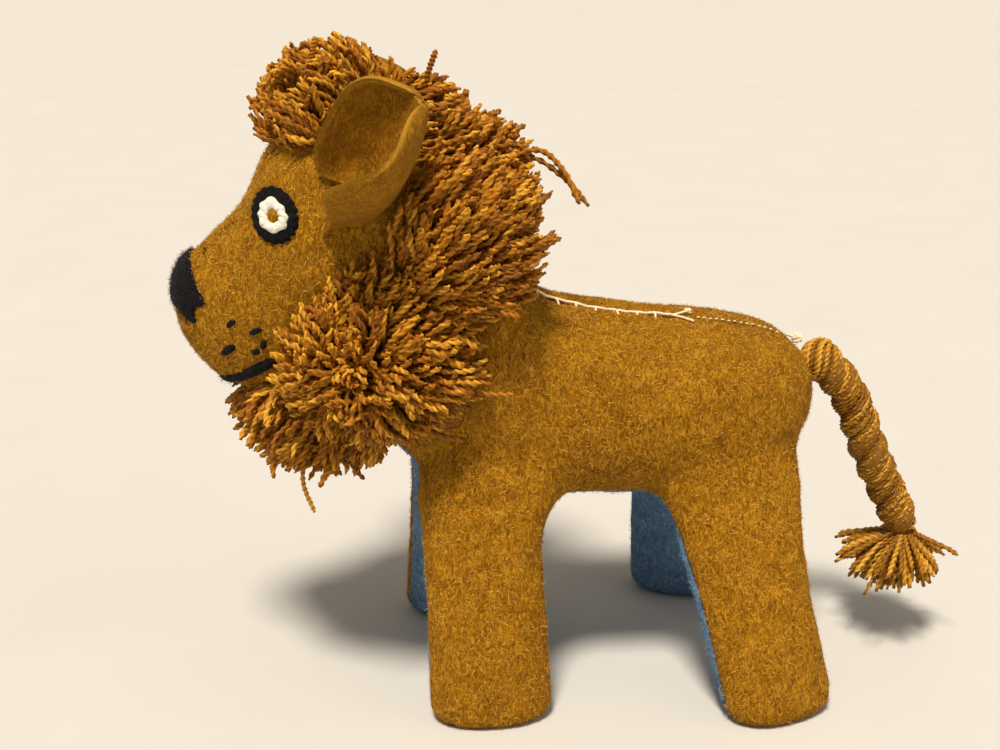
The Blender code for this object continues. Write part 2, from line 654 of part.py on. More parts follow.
def tube(name, points, radius):
    """A round tube along points, closed at both ends, as a mesh."""
    curve = bpy.data.curves.new(name, "CURVE")
    curve.dimensions = "3D"
    curve.bevel_depth = radius * MM
    curve.bevel_resolution = 3
    curve.use_fill_caps = True
    spline = curve.splines.new("POLY")
    spline.points.add(len(points) - 1)
    for target, (x, z) in zip(spline.points, points):
        target.co = (x * MM, 0.0, z * MM, 1.0)
    guide = bpy.data.objects.new(name, curve)
    LION.objects.link(guide)
    bpy.context.view_layer.update()
    mesh = bpy.data.meshes.new_from_object(guide.evaluated_get(bpy.context.evaluated_depsgraph_get()))
    bm = bmesh.new()
    bm.from_mesh(mesh)
    bmesh.ops.remove_doubles(bm, verts=bm.verts, dist=0.00001)
    bmesh.ops.recalc_face_normals(bm, faces=bm.faces)
    bm.to_mesh(mesh)
    bm.free()
    place = guide.matrix_world.copy()
    bpy.data.objects.remove(guide)
    made = bpy.data.objects.new(name, mesh)
    made.matrix_world = place
    LION.objects.link(made)
    mesh.shade_smooth()
    return made


def ball(name, point, radius):
    return ellipsoid(name, point, (radius,) * 3, CUTTERS)


def build_tail():
    """The knot, the two rope lengths that flex on ball ends, the whipping and the tassel."""
    route = through(ROPE_ROUTE, 3)
    bend_row = ROPE_BEND_INDEX * 3
    bend = (ROPE_ROUTE[ROPE_BEND_INDEX][0], 0.0, ROPE_ROUTE[ROPE_BEND_INDEX][1])
    end = (ROPE_ROUTE[-1][0], 0.0, ROPE_ROUTE[-1][1])
    knot = ellipsoid("tail_knot", (0.0, 0.0, 0.0), (KNOT_RADIUS,) * 3, LION)
    knot.location = Vector(KNOT_CENTRE) * MM
    dress(knot, TAIL_YARN)

    upper = tube("tail_rope_upper", route[:bend_row + 1], ROPE_RADIUS)
    boolean(upper, ball("rope_bend_ball", bend, ROPE_RADIUS), "UNION")
    boolean(upper, ball("knot_socket", KNOT_CENTRE, KNOT_RADIUS + GAP))
    dress(upper, TAIL_YARN)
    set_origin(upper, KNOT_CENTRE)

    lower = tube("tail_rope_lower", route[bend_row:-3], ROPE_RADIUS)
    boolean(lower, ball("rope_bend_socket", bend, ROPE_RADIUS + GAP))
    dress(lower, TAIL_YARN)
    set_origin(lower, bend)

    last = Vector((route[-3][0], 0.0, route[-3][1]))
    first = Vector((route[-4][0], 0.0, route[-4][1]))
    away = (last - first).normalized()
    start = last + away * 0.4
    whipping = tube("tail_whipping", [(start.x, start.z), (end[0], end[2])], WHIPPING_RADIUS)
    boolean(whipping, ball("whipping_end", end, WHIPPING_RADIUS), "UNION")
    dress(whipping, TAIL_YARN)
    set_origin(whipping, bend)

    rings = []
    for below, offset, radius in TASSEL_RINGS:
        circle = superellipse(TASSEL_SIDES, radius, radius, 2.0)
        rings.append([(end[0] + offset + x, y, end[2] - below) for x, y in circle])
    tassel = loft("tail_tassel", rings, LION)
    boolean(tassel, ball("tassel_socket", end, WHIPPING_RADIUS + GAP))
    dress(tassel, TAIL_YARN)
    set_origin(tassel, end)


build_skin()
build_stuffing()
build_ears()
build_mane()
build_face()
build_back_sewing()
build_tail()
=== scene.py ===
"""Visual model of a stuffed felt toy lion with a yarn mane and a wound yarn tail.

The lion faces -X, its left side is towards -Y and it stands on z = 0. Shapes are worked out in
millimetres and become metres when their mesh is made. Each piece replaces the plain solid that
holds its place in the frame, and rides on that solid's body.
"""

import math

import bpy
import numpy as np
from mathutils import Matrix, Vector


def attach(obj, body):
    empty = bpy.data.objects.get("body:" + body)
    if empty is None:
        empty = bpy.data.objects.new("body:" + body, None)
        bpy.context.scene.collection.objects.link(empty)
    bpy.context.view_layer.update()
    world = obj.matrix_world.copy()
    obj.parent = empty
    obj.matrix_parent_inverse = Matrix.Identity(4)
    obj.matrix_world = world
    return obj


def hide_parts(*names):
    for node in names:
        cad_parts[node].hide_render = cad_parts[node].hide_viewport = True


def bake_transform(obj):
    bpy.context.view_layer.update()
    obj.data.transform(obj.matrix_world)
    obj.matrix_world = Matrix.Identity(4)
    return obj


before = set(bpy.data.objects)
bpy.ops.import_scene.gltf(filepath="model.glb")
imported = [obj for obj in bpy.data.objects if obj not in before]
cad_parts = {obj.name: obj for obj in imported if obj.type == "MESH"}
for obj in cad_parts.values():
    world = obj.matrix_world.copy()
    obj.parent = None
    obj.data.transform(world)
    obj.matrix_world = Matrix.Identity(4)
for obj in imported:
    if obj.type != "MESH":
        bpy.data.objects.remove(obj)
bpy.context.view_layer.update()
MM = 0.001
CAMERA_DISTANCE = 0.420   # in metres, as is the place it looks at
LOOK_AT = (0.0, 0.0, 0.0955)

# ---------------------------------------------------------------- sizes, in millimetres

FELT = 2.0
SKIN_VOXEL = 1.0          # grid on which the trunk and legs are made one skin
FLOOR_HALF = 20000.0
SIDES = ((-1, "left"), (1, "right"))
GOLDEN_ANGLE = math.pi * (3.0 - math.sqrt(5.0))

# Stations of the head and trunk along the body: x, top z, bottom z, half width.
TRUNK_STATIONS = (
    (-94.4, 127.0, 120.0, 5.0),
    (-92.0, 133.0, 112.0, 10.5),
    (-84.0, 140.5, 101.0, 15.0),
    (-74.0, 150.0, 96.0, 18.5),
    (-66.0, 165.0, 96.0, 22.0),
    (-54.0, 176.0, 92.0, 25.5),
    (-38.0, 178.0, 82.0, 27.5),
    (-22.0, 171.0, 66.5, 28.0),
    (-6.0, 149.0, 61.0, 28.5),
    (8.0, 125.0, 60.0, 29.5),
    (24.0, 118.0, 59.5, 30.5),
    (48.0, 114.5, 59.5, 31.5),
    (70.0, 111.5, 62.0, 30.5),
    (83.5, 108.0, 68.0, 25.5),
    (92.0, 101.5, 76.0, 17.0),
    (95.7, 93.0, 86.0, 6.0),
)
TRUNK_POWER = 2.4

# Stations of a leg from the sole up: z, centre x, centre y, half length, half thickness, toe-out.
FRONT_LEG_STATIONS = (
    (0.0, -7.0, 34.0, 15.0, 8.5, 0.0),
    (3.0, -7.0, 34.0, 17.8, 11.0, 0.0),
    (9.0, -7.0, 33.0, 18.4, 12.0, 0.0),
    (30.0, -7.5, 29.5, 17.8, 12.3, 0.0),
    (50.0, -8.0, 24.0, 18.0, 12.8, 0.0),
    (60.0, -7.0, 20.5, 20.0, 13.3, 0.0),
    (68.0, -4.5, 18.0, 23.0, 13.5, 0.0),
    (80.0, -3.0, 15.0, 20.0, 12.5, 0.0),
    (92.0, -2.0, 13.0, 16.0, 10.0, 0.0),
)
REAR_LEG_STATIONS = (
    (0.0, 79.0, 42.0, 14.5, 8.5, 18.0),
    (3.0, 78.5, 42.0, 17.2, 11.0, 18.0),
    (9.0, 77.5, 41.0, 18.0, 12.0, 17.0),
    (30.0, 73.0, 35.5, 17.8, 12.3, 12.0),
    (50.0, 69.4, 27.0, 19.3, 12.8, 6.0),
    (60.0, 67.8, 22.5, 21.2, 13.3, 3.0),
    (68.0, 66.0, 19.0, 23.4, 13.5, 1.0),
    (80.0, 66.0, 15.0, 22.0, 12.5, 0.0),
)
LEG_POWER = 2.2
RIGHT_FOOT_SHIFT = {"front": (-3.0, 2.0), "rear": (-9.0, 0.0)}
SHIFT_TOP = 62.0

# The blue underbody: x, z of its ridge, half width and z at the belly seam, half width at the
# shin, half width at the sole.
UNDERBODY_STATIONS = (
    (-50.0, 92.0, 2.0, 87.0, 3.0, 4.0),
    (-32.0, 86.0, 17.0, 70.0, 29.0, 34.0),
    (12.0, 82.0, 22.0, 64.0, 29.5, 34.0),
    (22.0, 82.0, 18.5, 64.0, 29.5, 34.0),
    (40.0, 82.0, 18.5, 64.0, 36.0, 42.0),
    (50.0, 82.0, 22.5, 64.0, 42.0, 50.5),
    (86.0, 85.0, 16.0, 69.0, 32.0, 40.0),
    (97.0, 84.0, 2.5, 79.0, 27.5, 36.0),
)
SHIN_Z = 30.0
# The strip over the muzzle and crown: x, its lowest z, half width.
HEAD_STRIP_STATIONS = (
    (-100.0, 128.0, 7.0),
    (-80.0, 130.0, 8.0),
    (-60.0, 145.0, 9.5),
    (-20.0, 150.0, 8.0),
    (4.0, 116.0, 3.0),
)
BACK_SEAM_Y = -5.0
# A seam draws the felt in: how far its valley reaches to each side, and its depth.
UNDERBODY_VALLEY = (1.1, 1.5)
STRIP_VALLEY = (0.9, 0.3)
BACK_VALLEY = (1.0, 0.9)
SEAM_ROUNDS = 6
SEAM_CLEAR = 0.5          # a seam's points stay this far from the seams it ends at
LEG_TOP = (66.0, 15.0)    # height and reach of the band where the legs meet the trunk
CHEST_X = -45.0           # nothing in front of this is relaxed along with the leg tops

# Soft creases where the filling leaves the felt slack: centre, direction, length, width, depth.
CREASES = (
    ((-8.0, -31.0, 66.0), (1.0, 0.0, 0.05), 12.0, 2.2, 0.9),
    ((-10.0, -33.0, 59.5), (1.0, 0.0, -0.05), 11.0, 2.0, 0.7),
    ((62.0, -33.0, 64.0), (1.0, 0.1, 0.1), 10.0, 2.4, 0.5),
    ((-8.0, 32.0, 63.0), (1.0, 0.0, 0.05), 12.0, 2.2, 0.8),
    ((66.0, 33.0, 62.0), (1.0, 0.0, 0.1), 10.0, 2.4, 0.6),
    ((6.0, -29.0, 88.0), (0.3, 0.0, 1.0), 16.0, 3.0, 0.7),
    ((4.0, 29.0, 90.0), (0.25, 0.0, 1.0), 16.0, 3.0, 0.7),
    ((-72.0, -19.0, 139.0), (0.5, 0.1, 1.0), 8.0, 3.0, 0.5),
    ((-72.0, 19.0, 139.0), (0.5, -0.1, 1.0), 8.0, 3.0, 0.5),
)

# Pompoms of the mane: node, centre, radii. A side pompom is made for each side.
SIDE_POMPOMS = (
    ("mane_lower", (-36.0, 27.0, 111.0), (31.0, 18.0, 26.0)),
    ("mane_upper", (-12.0, 26.0, 144.0), (23.0, 18.0, 25.0)),
    ("mane_cheek", (-34.0, 22.0, 131.0), (18.0, 14.0, 15.0)),
)
CENTRE_POMPOMS = (
    ("mane_throat", (-53.0, 0.0, 90.0), (28.0, 28.0, 21.0)),
    ("mane_nape", (-5.0, 0.0, 151.0), (18.0, 21.0, 25.0)),
    ("mane_crown", (-22.0, 0.0, 168.0), (18.0, 22.0, 19.0)),
    ("mane_forelock", (-48.0, 0.0, 176.0), (22.0, 24.0, 21.0)),
)
# Single ends that stand out of the mane.
STRAY_ENDS = (
    ((-22.0, -4.0, 176.0), (-21.0, -5.0, 185.0), (-18.5, -6.0, 192.5)),
    ((-8.0, -6.0, 156.0), (6.0, -9.0, 163.0), (17.0, -11.0, 157.0), (24.0, -12.0, 149.0)),
    ((-8.0, -8.0, 158.0), (8.0, -10.0, 165.0), (16.0, -12.0, 160.0), (21.0, -14.0, 150.0)),
    ((-51.0, -6.0, 182.0), (-52.5, -7.0, 190.0), (-51.5, -8.0, 196.5)),
    ((-58.0, -16.0, 84.0), (-60.0, -19.0, 72.0), (-57.0, -20.0, 62.0)),
    ((-8.0, 12.0, 150.0), (6.0, 18.0, 154.0), (14.0, 22.0, 147.0)),
)
# Where each pompom is tied, and the place in it that its strands lie away from.
MANE_TIES = {
    "mane_lower": (-38.0, 14.0, 108.0, (-52.0, 45.0, 102.0)),
    "mane_upper": (-30.0, 14.0, 128.0, (-48.0, 45.0, 104.0)),
    "mane_cheek": (-30.0, 14.0, 122.0, (-50.0, 45.0, 104.0)),
    "mane_throat": (-46.0, 0.0, 104.0, (-50.0, 0.0, 112.0)),
    "mane_nape": (-24.0, 0.0, 138.0, (-45.0, 0.0, 130.0)),
    "mane_crown": (-34.0, 0.0, 158.0, (-48.0, 0.0, 150.0)),
    "mane_forelock": (-40.0, 0.0, 162.0, (-34.0, 0.0, 165.0)),
}
MANE_SPACING = 2.35       # between the tips of neighbouring strands
MANE_EAR_GAP = 3.8        # strands stay this far from an ear's middle surface
MANE_OVERLAP = 0.80       # share of another pompom's radii inside which no strand ends
MANE_ROOT_SHADE_START = 0.42          # where along its whole length the shown part of a strand begins, for the painted shade that darkens the yarn towards its root
TIP_CLEAR = 1.06          # least value of trunk_inside at a strand's tip
SHAFT_CLEAR = 0.98        # and a little way down from it
YARN_RADIUS = 1.02
YARN_SIDES = 6
RINGS_PER_TURN = 5        # rings in one full turn of the two plies, which is about 4.7 mm
STRAND_RINGS = 17
STRAND_SHOWN = 15.0       # only this much of a strand is made, from its tip inwards

# Loose fibres: half widths from root to tip, how deep they are rooted and how low they may lie.
FIBRE_HALF_WIDTHS = (0.065, 0.055, 0.02)
FIBRE_ROOT = 0.15
FIBRE_LOWEST = 0.02
FIBRE_LENGTH = 1.7
FIBRE_LIFT = 0.4
LOOSE_FIBRES = (
    ("side_panel_left", 36000),
    ("side_panel_right", 36000),
    ("head_gusset", 5000),
    ("underbody_gusset", 20000),
)

# Ear petal, as the frame has it.
EAR_FOOT = (-37.0, 26.0, 151.0)
EAR_ALONG = (0.478, 0.149, 0.866)
EAR_FACING = (-0.791, 0.502, 0.350)
EAR_LENGTH = 34.0
EAR_DEPTH = (18.0, 20.5)
EAR_SPREAD = (4.5, 11.2)
EAR_WIDEST = 0.35
EAR_CURL = 105.0
EAR_TIP_POWER = 2.9
EAR_NOD = 4.5             # how far the tip leans over forwards
EAR_NEAR_SHORTER = 0.26   # the near flap's upper half stops short by this share of its depth
EAR_SHOULDER = 0.42       # and its lower half stands further forward by this share
EAR_NEAR_WIDER = 5.5      # it bulges outwards by this much halfway up
EAR_NEAR_FOOT = 0.2       # and its sewn foot is shorter by this share
EAR_LOW_END = 6.0         # how far the near edge's sewn end runs down the cheek
EAR_SEWN_RISE = 0.45
EAR_SEWN_LINE = (0.92, 0.0, -0.38)
EAR_GRID = (40, 61)       # rows from foot to tip, columns from edge to edge
RIM_WIDTH = 1.0           # the wall rounds off over this much at a cut edge

# Face.
EYE_CENTRE = (-64.0, 150.0)
EYE_HALF = (6.5, 7.7)
EYE_RING_HALF = (3.9, 4.6)
EYE_HOLE_HALF = 1.7
EYE_MIDDLE_HALF = (1.8, 2.3)
NOSE_OUTLINE = (
    (-100.0, 138.5),
    (-89.0, 136.4),
    (-88.0, 131.5),
    (-86.4, 127.6),
    (-84.4, 124.4),
    (-87.6, 123.0),
    (-87.4, 118.0),
    (-90.4, 119.4),
    (-92.2, 121.6),
    (-94.0, 122.6),
    (-100.0, 122.6),
)
# Start and end of each stroke as x and z, and its half width.
MOUTH_STROKES = (
    ((-90.0, 95.1), (-76.4, 102.4), 1.5),
    ((-77.0, 101.6), (-67.4, 107.4), 1.6),
)
# x, z, half length, half thickness and slant in degrees.
WHISKERS = (
    (-77.8, 119.3, 1.9, 1.0, 45.0),
    (-71.2, 117.3, 2.0, 0.9, 25.0),
    (-79.3, 111.1, 2.6, 1.3, 38.0),
    (-71.4, 111.0, 1.3, 1.0, 20.0),
    (-69.2, 113.4, 1.6, 0.9, 75.0),
)

# Cream sewing on the back.
CLOSING_FROM = 7.0
CLOSING_TO = 51.0
CLOSING_Y = BACK_SEAM_Y - 0.5
THREAD_RADIUS = 0.42
TOOTH_SPACING = 6.0
FORK_LENGTHS = ((1.0, 6.5), (-1.0, 6.0))
RUNNING_STITCHES = 14
RUNNING_SPACING = 1.9
RUMP_KNOT = (90.5, BACK_SEAM_Y, 105.5)

# Tail: knot, rope route as x and z, and its bend.
KNOT_CENTRE = (100.4, 0.0, 96.5)
KNOT_RADIUS = 6.2
ROPE_RADIUS = 5.5
ROPE_ROUTE = (
    (100.4, 96.5),
    (108.5, 88.0),
    (113.5, 78.5),
    (117.5, 68.5),
    (122.5, 58.0),
    (128.0, 47.5),
    (132.5, 38.5),
)
ROPE_ROWS = 24            # rows from one point of the route to the next
ROPE_PITCH = 17.0
ROPE_YARNS = 22
ROPE_END_SLIM = 0.22      # the whipping pulls the rope in by this share
ROPE_END_LENGTH = 6.0
KNOT_YARNS = 20
WHIP_TURNS = 3.5
WHIP_PITCH = 1.5
WHIP_RADIUS = 4.3
WHIP_START = 5.8          # before the rope's end
TASSEL_STRANDS = 150
TASSEL_REACH = 20.0
TASSEL_DROP = 20.5
TASSEL_EDGE_RISE = 13.0   # the outermost strands end this much higher than the middle ones
TASSEL_DEEPEST = 23.0


# ---------------------------------------------------------------- camera, floor and light


def camera():
    """A camera at 18 degrees above the horizon and a little to the left of square on."""
    azimuth, elevation = math.radians(-7.0), math.radians(18.0)
    back = Vector((math.sin(azimuth) * math.cos(elevation),
                   -math.cos(azimuth) * math.cos(elevation), math.sin(elevation)))
    data = bpy.data.cameras.new("camera")
    data.lens = 49.9
    data.sensor_width = 36.0
    data.clip_start = 0.01
    made = bpy.data.objects.new("camera", data)
    made.location = Vector(LOOK_AT) + back * CAMERA_DISTANCE
    made.rotation_euler = back.to_track_quat("Z", "Y").to_euler()
    bpy.context.scene.collection.objects.link(made)
    bpy.context.scene.camera = made


def linear(code):
    """A colour written as sRGB hex, as the linear values a shader takes."""
    parts = [int(code[i:i + 2], 16) / 255.0 for i in (1, 3, 5)]
    return tuple(p / 12.92 if p <= 0.04045 else ((p + 0.055) / 1.055) ** 2.4 for p in parts) + (1.0,)


def add(tree, kind, inputs=None, **settings):
    """A node with its settings; an input is a number, a colour or another node's socket."""
    made = tree.nodes.new(kind)
    for name, value in settings.items():
        setattr(made, name, value)
    for name, value in (inputs or {}).items():
        socket = made.inputs[name]
        if isinstance(value, bpy.types.NodeSocket):
            tree.links.new(value, socket)
        else:
            socket.default_value = value
    return made


def far_light(name, azimuth, elevation, spread, strength, colour):
    """A distant soft light: its direction, how wide it looks, in degrees, and its strength."""
    data = bpy.data.lights.new(name, "SUN")
    data.angle = math.radians(spread)
    data.energy = strength
    data.color = linear(colour)[:3]
    made = bpy.data.objects.new(name, data)
    turn, rise = math.radians(azimuth), math.radians(elevation)
    towards = Vector((math.sin(turn) * math.cos(rise), -math.cos(turn) * math.cos(rise),
                      math.sin(rise)))
    made.rotation_euler = towards.to_track_quat("Z", "Y").to_euler()
    bpy.context.scene.collection.objects.link(made)


def studio():
    """A pale floor, a broad key light from above in front, a weak fill and a warm sky."""
    far_light("key", -24.0, 65.0, 12.0, 4.3, "#fff3e2")
    far_light("fill", 60.0, 35.0, 40.0, 0.35, "#fff3e2")
    world = bpy.data.worlds.new("studio")
    world.use_nodes = True
    sky = world.node_tree.nodes["Background"]
    sky.inputs["Color"].default_value = linear("#f6ecdc")
    sky.inputs["Strength"].default_value = 0.36
    bpy.context.scene.world = world
    bpy.context.scene.view_settings.view_transform = "Standard"

    corners = np.array([(-1.0, -1.0, 0.0), (1.0, -1.0, 0.0), (1.0, 1.0, 0.0), (-1.0, 1.0, 0.0)])
    floor = piece("floor", corners * FLOOR_HALF, np.array([[0, 1, 2, 3]]), painted_board())


# ---------------------------------------------------------------- materials


def principled(name):
    """A new material with its tree, its main shader and a node for Object coordinates."""
    made = bpy.data.materials.new(name)
    made.use_nodes = True
    tree = made.node_tree
    return made, tree, tree.nodes["Principled BSDF"], add(tree, "ShaderNodeTexCoord").outputs["Object"]


def painted_board():
    """Matt painted board: an even pale surface with a very slight unevenness."""
    made, tree, shader, place = principled("painted_board_matt")
    spots = add(tree, "ShaderNodeTexNoise", {"Vector": place, "Scale": 18.0, "Detail": 3.0})
    tint = add(tree, "ShaderNodeValToRGB", {"Fac": spots.outputs["Fac"]})
    tint.color_ramp.elements[0].color = linear("#c5c4c1")
    tint.color_ramp.elements[1].color = linear("#cccbc8")
    tree.links.new(tint.outputs["Color"], shader.inputs["Base Color"])
    shader.inputs["Roughness"].default_value = 0.75
    return made


def wool_felt(name, dark, middle, bright, clump=1.3, relief=0.9, sheen="#e8b860", rim_highlight=None):
    """Pressed wool felt: matted fibres in short curls over broad patches where the wool is thicker,
    which give it its own uneven tone. The curls of the bump are painted lighter where they stand
    up and darker between them, as a painted highlight and painted shade. Curls are 1 to 2 mm long
    and single fibres, drawn at 0.4 mm, are coarser than real ones so that they show. A cut edge
    takes a paler colour where the rim attribute says so, as a painted highlight along it."""
    made, tree, shader, place = principled(name)
    nap = add(tree, "ShaderNodeMapping",
              {"Vector": place, "Rotation": (0.0, 0.35, 0.0), "Scale": (1.0, 1.0, 0.45)})
    curls = add(tree, "ShaderNodeTexNoise",
                {"Vector": nap.outputs["Vector"], "Scale": 1000.0 / clump, "Detail": 5.0,
                 "Roughness": 0.62, "Distortion": 1.6})
    fibres = add(tree, "ShaderNodeTexNoise",
                 {"Vector": nap.outputs["Vector"], "Scale": 2500.0, "Detail": 3.0,
                  "Roughness": 0.6, "Distortion": 2.5})
    patches = add(tree, "ShaderNodeTexNoise",
                  {"Vector": place, "Scale": 150.0, "Detail": 4.0, "Roughness": 0.6})
    fine = add(tree, "ShaderNodeMix",
               {"Factor": 0.35, "A": curls.outputs["Fac"], "B": fibres.outputs["Fac"]})
    both = add(tree, "ShaderNodeMix",
               {"Factor": 0.15, "A": fine.outputs["Result"], "B": patches.outputs["Fac"]})
    # Painted light: the colour follows the same curls as the bump, lighter on their tops as a painted
    # highlight and darker between them as painted shade; the broad patches are the felt's own tone.
    tone = add(tree, "ShaderNodeValToRGB", {"Fac": both.outputs["Result"]})
    ramp = tone.color_ramp
    ramp.elements[0].position = 0.39
    ramp.elements[0].color = linear(dark)
    ramp.elements[1].position = 0.61
    ramp.elements[1].color = linear(bright)
    ramp.elements.new(0.50).color = linear(middle)
    bump = add(tree, "ShaderNodeBump",
               {"Height": fine.outputs["Result"], "Strength": relief, "Distance": 0.0022})
    colour = tone.outputs["Color"]
    # Painted highlight along a cut edge: the rim attribute mixes the paler colour in there.
    if rim_highlight:
        rim = add(tree, "ShaderNodeAttribute", attribute_name="rim")
        mixed = add(tree, "ShaderNodeMix",
                    {"Factor": rim.outputs["Fac"], "A": colour, "B": linear(rim_highlight)},
                    data_type="RGBA")
        colour = mixed.outputs["Result"]
    tree.links.new(colour, shader.inputs["Base Color"])
    tree.links.new(bump.outputs["Normal"], shader.inputs["Normal"])
    shader.inputs["Roughness"].default_value = 0.95
    shader.inputs["Specular IOR Level"].default_value = 0.15
    shader.inputs["Sheen Weight"].default_value = 0.12 * relief
    shader.inputs["Sheen Roughness"].default_value = 0.45
    shader.inputs["Sheen Tint"].default_value = linear(sheen)
    return made


def wool_yarn(name, dark, middle, bright, root, gloss=0.35):
    """Two-ply worsted yarn with a silky fibre: each strand has its own tone, its plies get a painted
    highlight along their crowns and painted shade between them, and painted shade darkens it
    towards its root."""
    made, tree, shader, place = principled(name)
    strand = add(tree, "ShaderNodeAttribute", attribute_name="strand_tone")
    along = add(tree, "ShaderNodeAttribute", attribute_name="along")
    fibres = add(tree, "ShaderNodeTexNoise",
                 {"Vector": place, "Scale": 1600.0, "Detail": 3.0,
                  "Roughness": 0.6, "Distortion": 0.8})
    mixed = add(tree, "ShaderNodeMix",
                {"Factor": 0.5, "A": strand.outputs["Fac"], "B": fibres.outputs["Fac"]})
    # Painted light on the plies: crown brightens the tone on top of each ply as a painted highlight
    # and darkens it between plies as painted shade.
    crown = add(tree, "ShaderNodeAttribute", attribute_name="crown")
    lit = add(tree, "ShaderNodeMapRange",
              {"Value": crown.outputs["Fac"], "To Min": 0.62, "To Max": 1.15})
    tone = add(tree, "ShaderNodeValToRGB", {"Fac": mixed.outputs["Result"]})
    ramp = tone.color_ramp
    ramp.elements[0].position = 0.18
    ramp.elements[0].color = linear(dark)
    ramp.elements[1].position = 0.85
    ramp.elements[1].color = linear(bright)
    ramp.elements.new(0.5).color = linear(middle)
    # Painted shade: where along is low, towards the root, the tone is mixed towards the root colour.
    depth = add(tree, "ShaderNodeMapRange",
                {"Value": along.outputs["Fac"], "From Min": 0.35, "From Max": 0.95,
                 "To Min": 0.25, "To Max": 1.0})
    shade = add(tree, "ShaderNodeMix",
                {"Factor": depth.outputs["Result"], "A": linear(root), "B": tone.outputs["Color"]},
                data_type="RGBA")
    plies = add(tree, "ShaderNodeVectorMath",
                {"Vector": shade.outputs["Result"], "Scale": lit.outputs["Result"]},
                operation="SCALE")
    bump = add(tree, "ShaderNodeBump",
               {"Height": fibres.outputs["Fac"], "Strength": 0.5, "Distance": 0.0004})
    tree.links.new(plies.outputs["Vector"], shader.inputs["Base Color"])
    tree.links.new(bump.outputs["Normal"], shader.inputs["Normal"])
    shader.inputs["Roughness"].default_value = 1.0 - gloss
    shader.inputs["Specular IOR Level"].default_value = 0.25
    shader.inputs["Sheen Weight"].default_value = 0.08
    shader.inputs["Sheen Tint"].default_value = linear("#f0b048")
    return made


def loose_wool(name, dark, bright):
    """Single wool fibres that stand off the felt, each with its own tone from dark to bright."""
    made, tree, shader, _ = principled(name)
    own = add(tree, "ShaderNodeAttribute", attribute_name="strand_tone")
    tone = add(tree, "ShaderNodeValToRGB", {"Fac": own.outputs["Fac"]})
    tone.color_ramp.elements[0].color = linear(dark)
    tone.color_ramp.elements[1].color = linear(bright)
    tree.links.new(tone.outputs["Color"], shader.inputs["Base Color"])
    shader.inputs["Roughness"].default_value = 0.8
    shader.inputs["Specular IOR Level"].default_value = 0.2
    return made


def cotton_thread(name, dark, bright, twist=0.9, gloss=0.3):
    """Spun cotton thread laid in close stitches: fine ridges along the stitches."""
    made, tree, shader, place = principled(name)
    ridges = add(tree, "ShaderNodeTexNoise",
                 {"Vector": place, "Scale": 1000.0 / twist, "Detail": 4.0,
                  "Roughness": 0.6, "Distortion": 1.0})
    tone = add(tree, "ShaderNodeValToRGB", {"Fac": ridges.outputs["Fac"]})
    tone.color_ramp.elements[0].position = 0.3
    tone.color_ramp.elements[0].color = linear(dark)
    tone.color_ramp.elements[1].position = 0.7
    tone.color_ramp.elements[1].color = linear(bright)
    bump = add(tree, "ShaderNodeBump",
               {"Height": ridges.outputs["Fac"], "Strength": 0.6, "Distance": 0.0005})
    tree.links.new(tone.outputs["Color"], shader.inputs["Base Color"])
    tree.links.new(bump.outputs["Normal"], shader.inputs["Normal"])
    shader.inputs["Roughness"].default_value = 1.0 - gloss
    shader.inputs["Specular IOR Level"].default_value = 0.2
    shader.inputs["Sheen Weight"].default_value = 0.04
    return made


# ---------------------------------------------------------------- surfaces


def piece(name, points, faces, material, values=None):
    """A mesh object from points in millimetres and faces of three or four corners.

    values is a number per point for each named attribute.
    """
    mesh = bpy.data.meshes.new(name)
    faces = np.ascontiguousarray(faces, dtype=np.int32)
    count, corners = faces.shape
    mesh.vertices.add(len(points))
    mesh.vertices.foreach_set("co", (np.asarray(points, float) * MM).astype(np.float32).ravel())
    mesh.loops.add(faces.size)
    mesh.loops.foreach_set("vertex_index", faces.ravel())
    mesh.polygons.add(count)
    mesh.polygons.foreach_set("loop_start", np.arange(count, dtype=np.int32) * corners)
    mesh.update(calc_edges=True)
    mesh.shade_smooth()
    for key, numbers in (values or {}).items():
        made = mesh.attributes.new(key, "FLOAT", "POINT")
        made.data.foreach_set("value", np.asarray(numbers, np.float32).ravel())
    mesh.materials.append(material)
    made = bpy.data.objects.new(name, mesh)
    bpy.context.scene.collection.objects.link(made)
    return made


def settle(made, body, slot, *nodes):
    """Put a finished piece on its body and in place of its nodes. The slot is not used."""
    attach(made, body)
    if nodes:
        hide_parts(*nodes)
    return made


def grid_faces(rows, columns, closed=False):
    """Four-cornered faces between neighbouring rows and columns of a grid of points."""
    last = columns if closed else columns - 1
    row, column = np.meshgrid(np.arange(rows - 1), np.arange(last), indexing="ij")
    after = (column + 1) % columns
    return np.stack([row * columns + column, row * columns + after,
                     (row + 1) * columns + after, (row + 1) * columns + column], -1).reshape(-1, 4)


def through(rows, per_span):
    """Rows of a smooth Catmull-Rom curve through the given rows."""
    rows = np.array(rows, float)
    padded = np.vstack([2 * rows[0] - rows[1], rows, 2 * rows[-1] - rows[-2]])
    t = (np.arange(per_span) / per_span)[None, :, None]
    p0, p1, p2, p3 = (padded[i:i + len(rows) - 1, None, :] for i in range(4))
    bend = 2 * p0 - 5 * p1 + 4 * p2 - p3 + t * (3 * (p1 - p2) + p3 - p0)
    curve = p1 + 0.5 * t * (p2 - p0 + t * bend)
    return np.vstack([curve.reshape(-1, rows.shape[1]), rows[-1]])


def unit(vectors):
    """Vectors divided by their lengths."""
    vectors = np.asarray(vectors, float)
    return vectors / np.maximum(np.linalg.norm(vectors, axis=-1, keepdims=True), 1e-9)


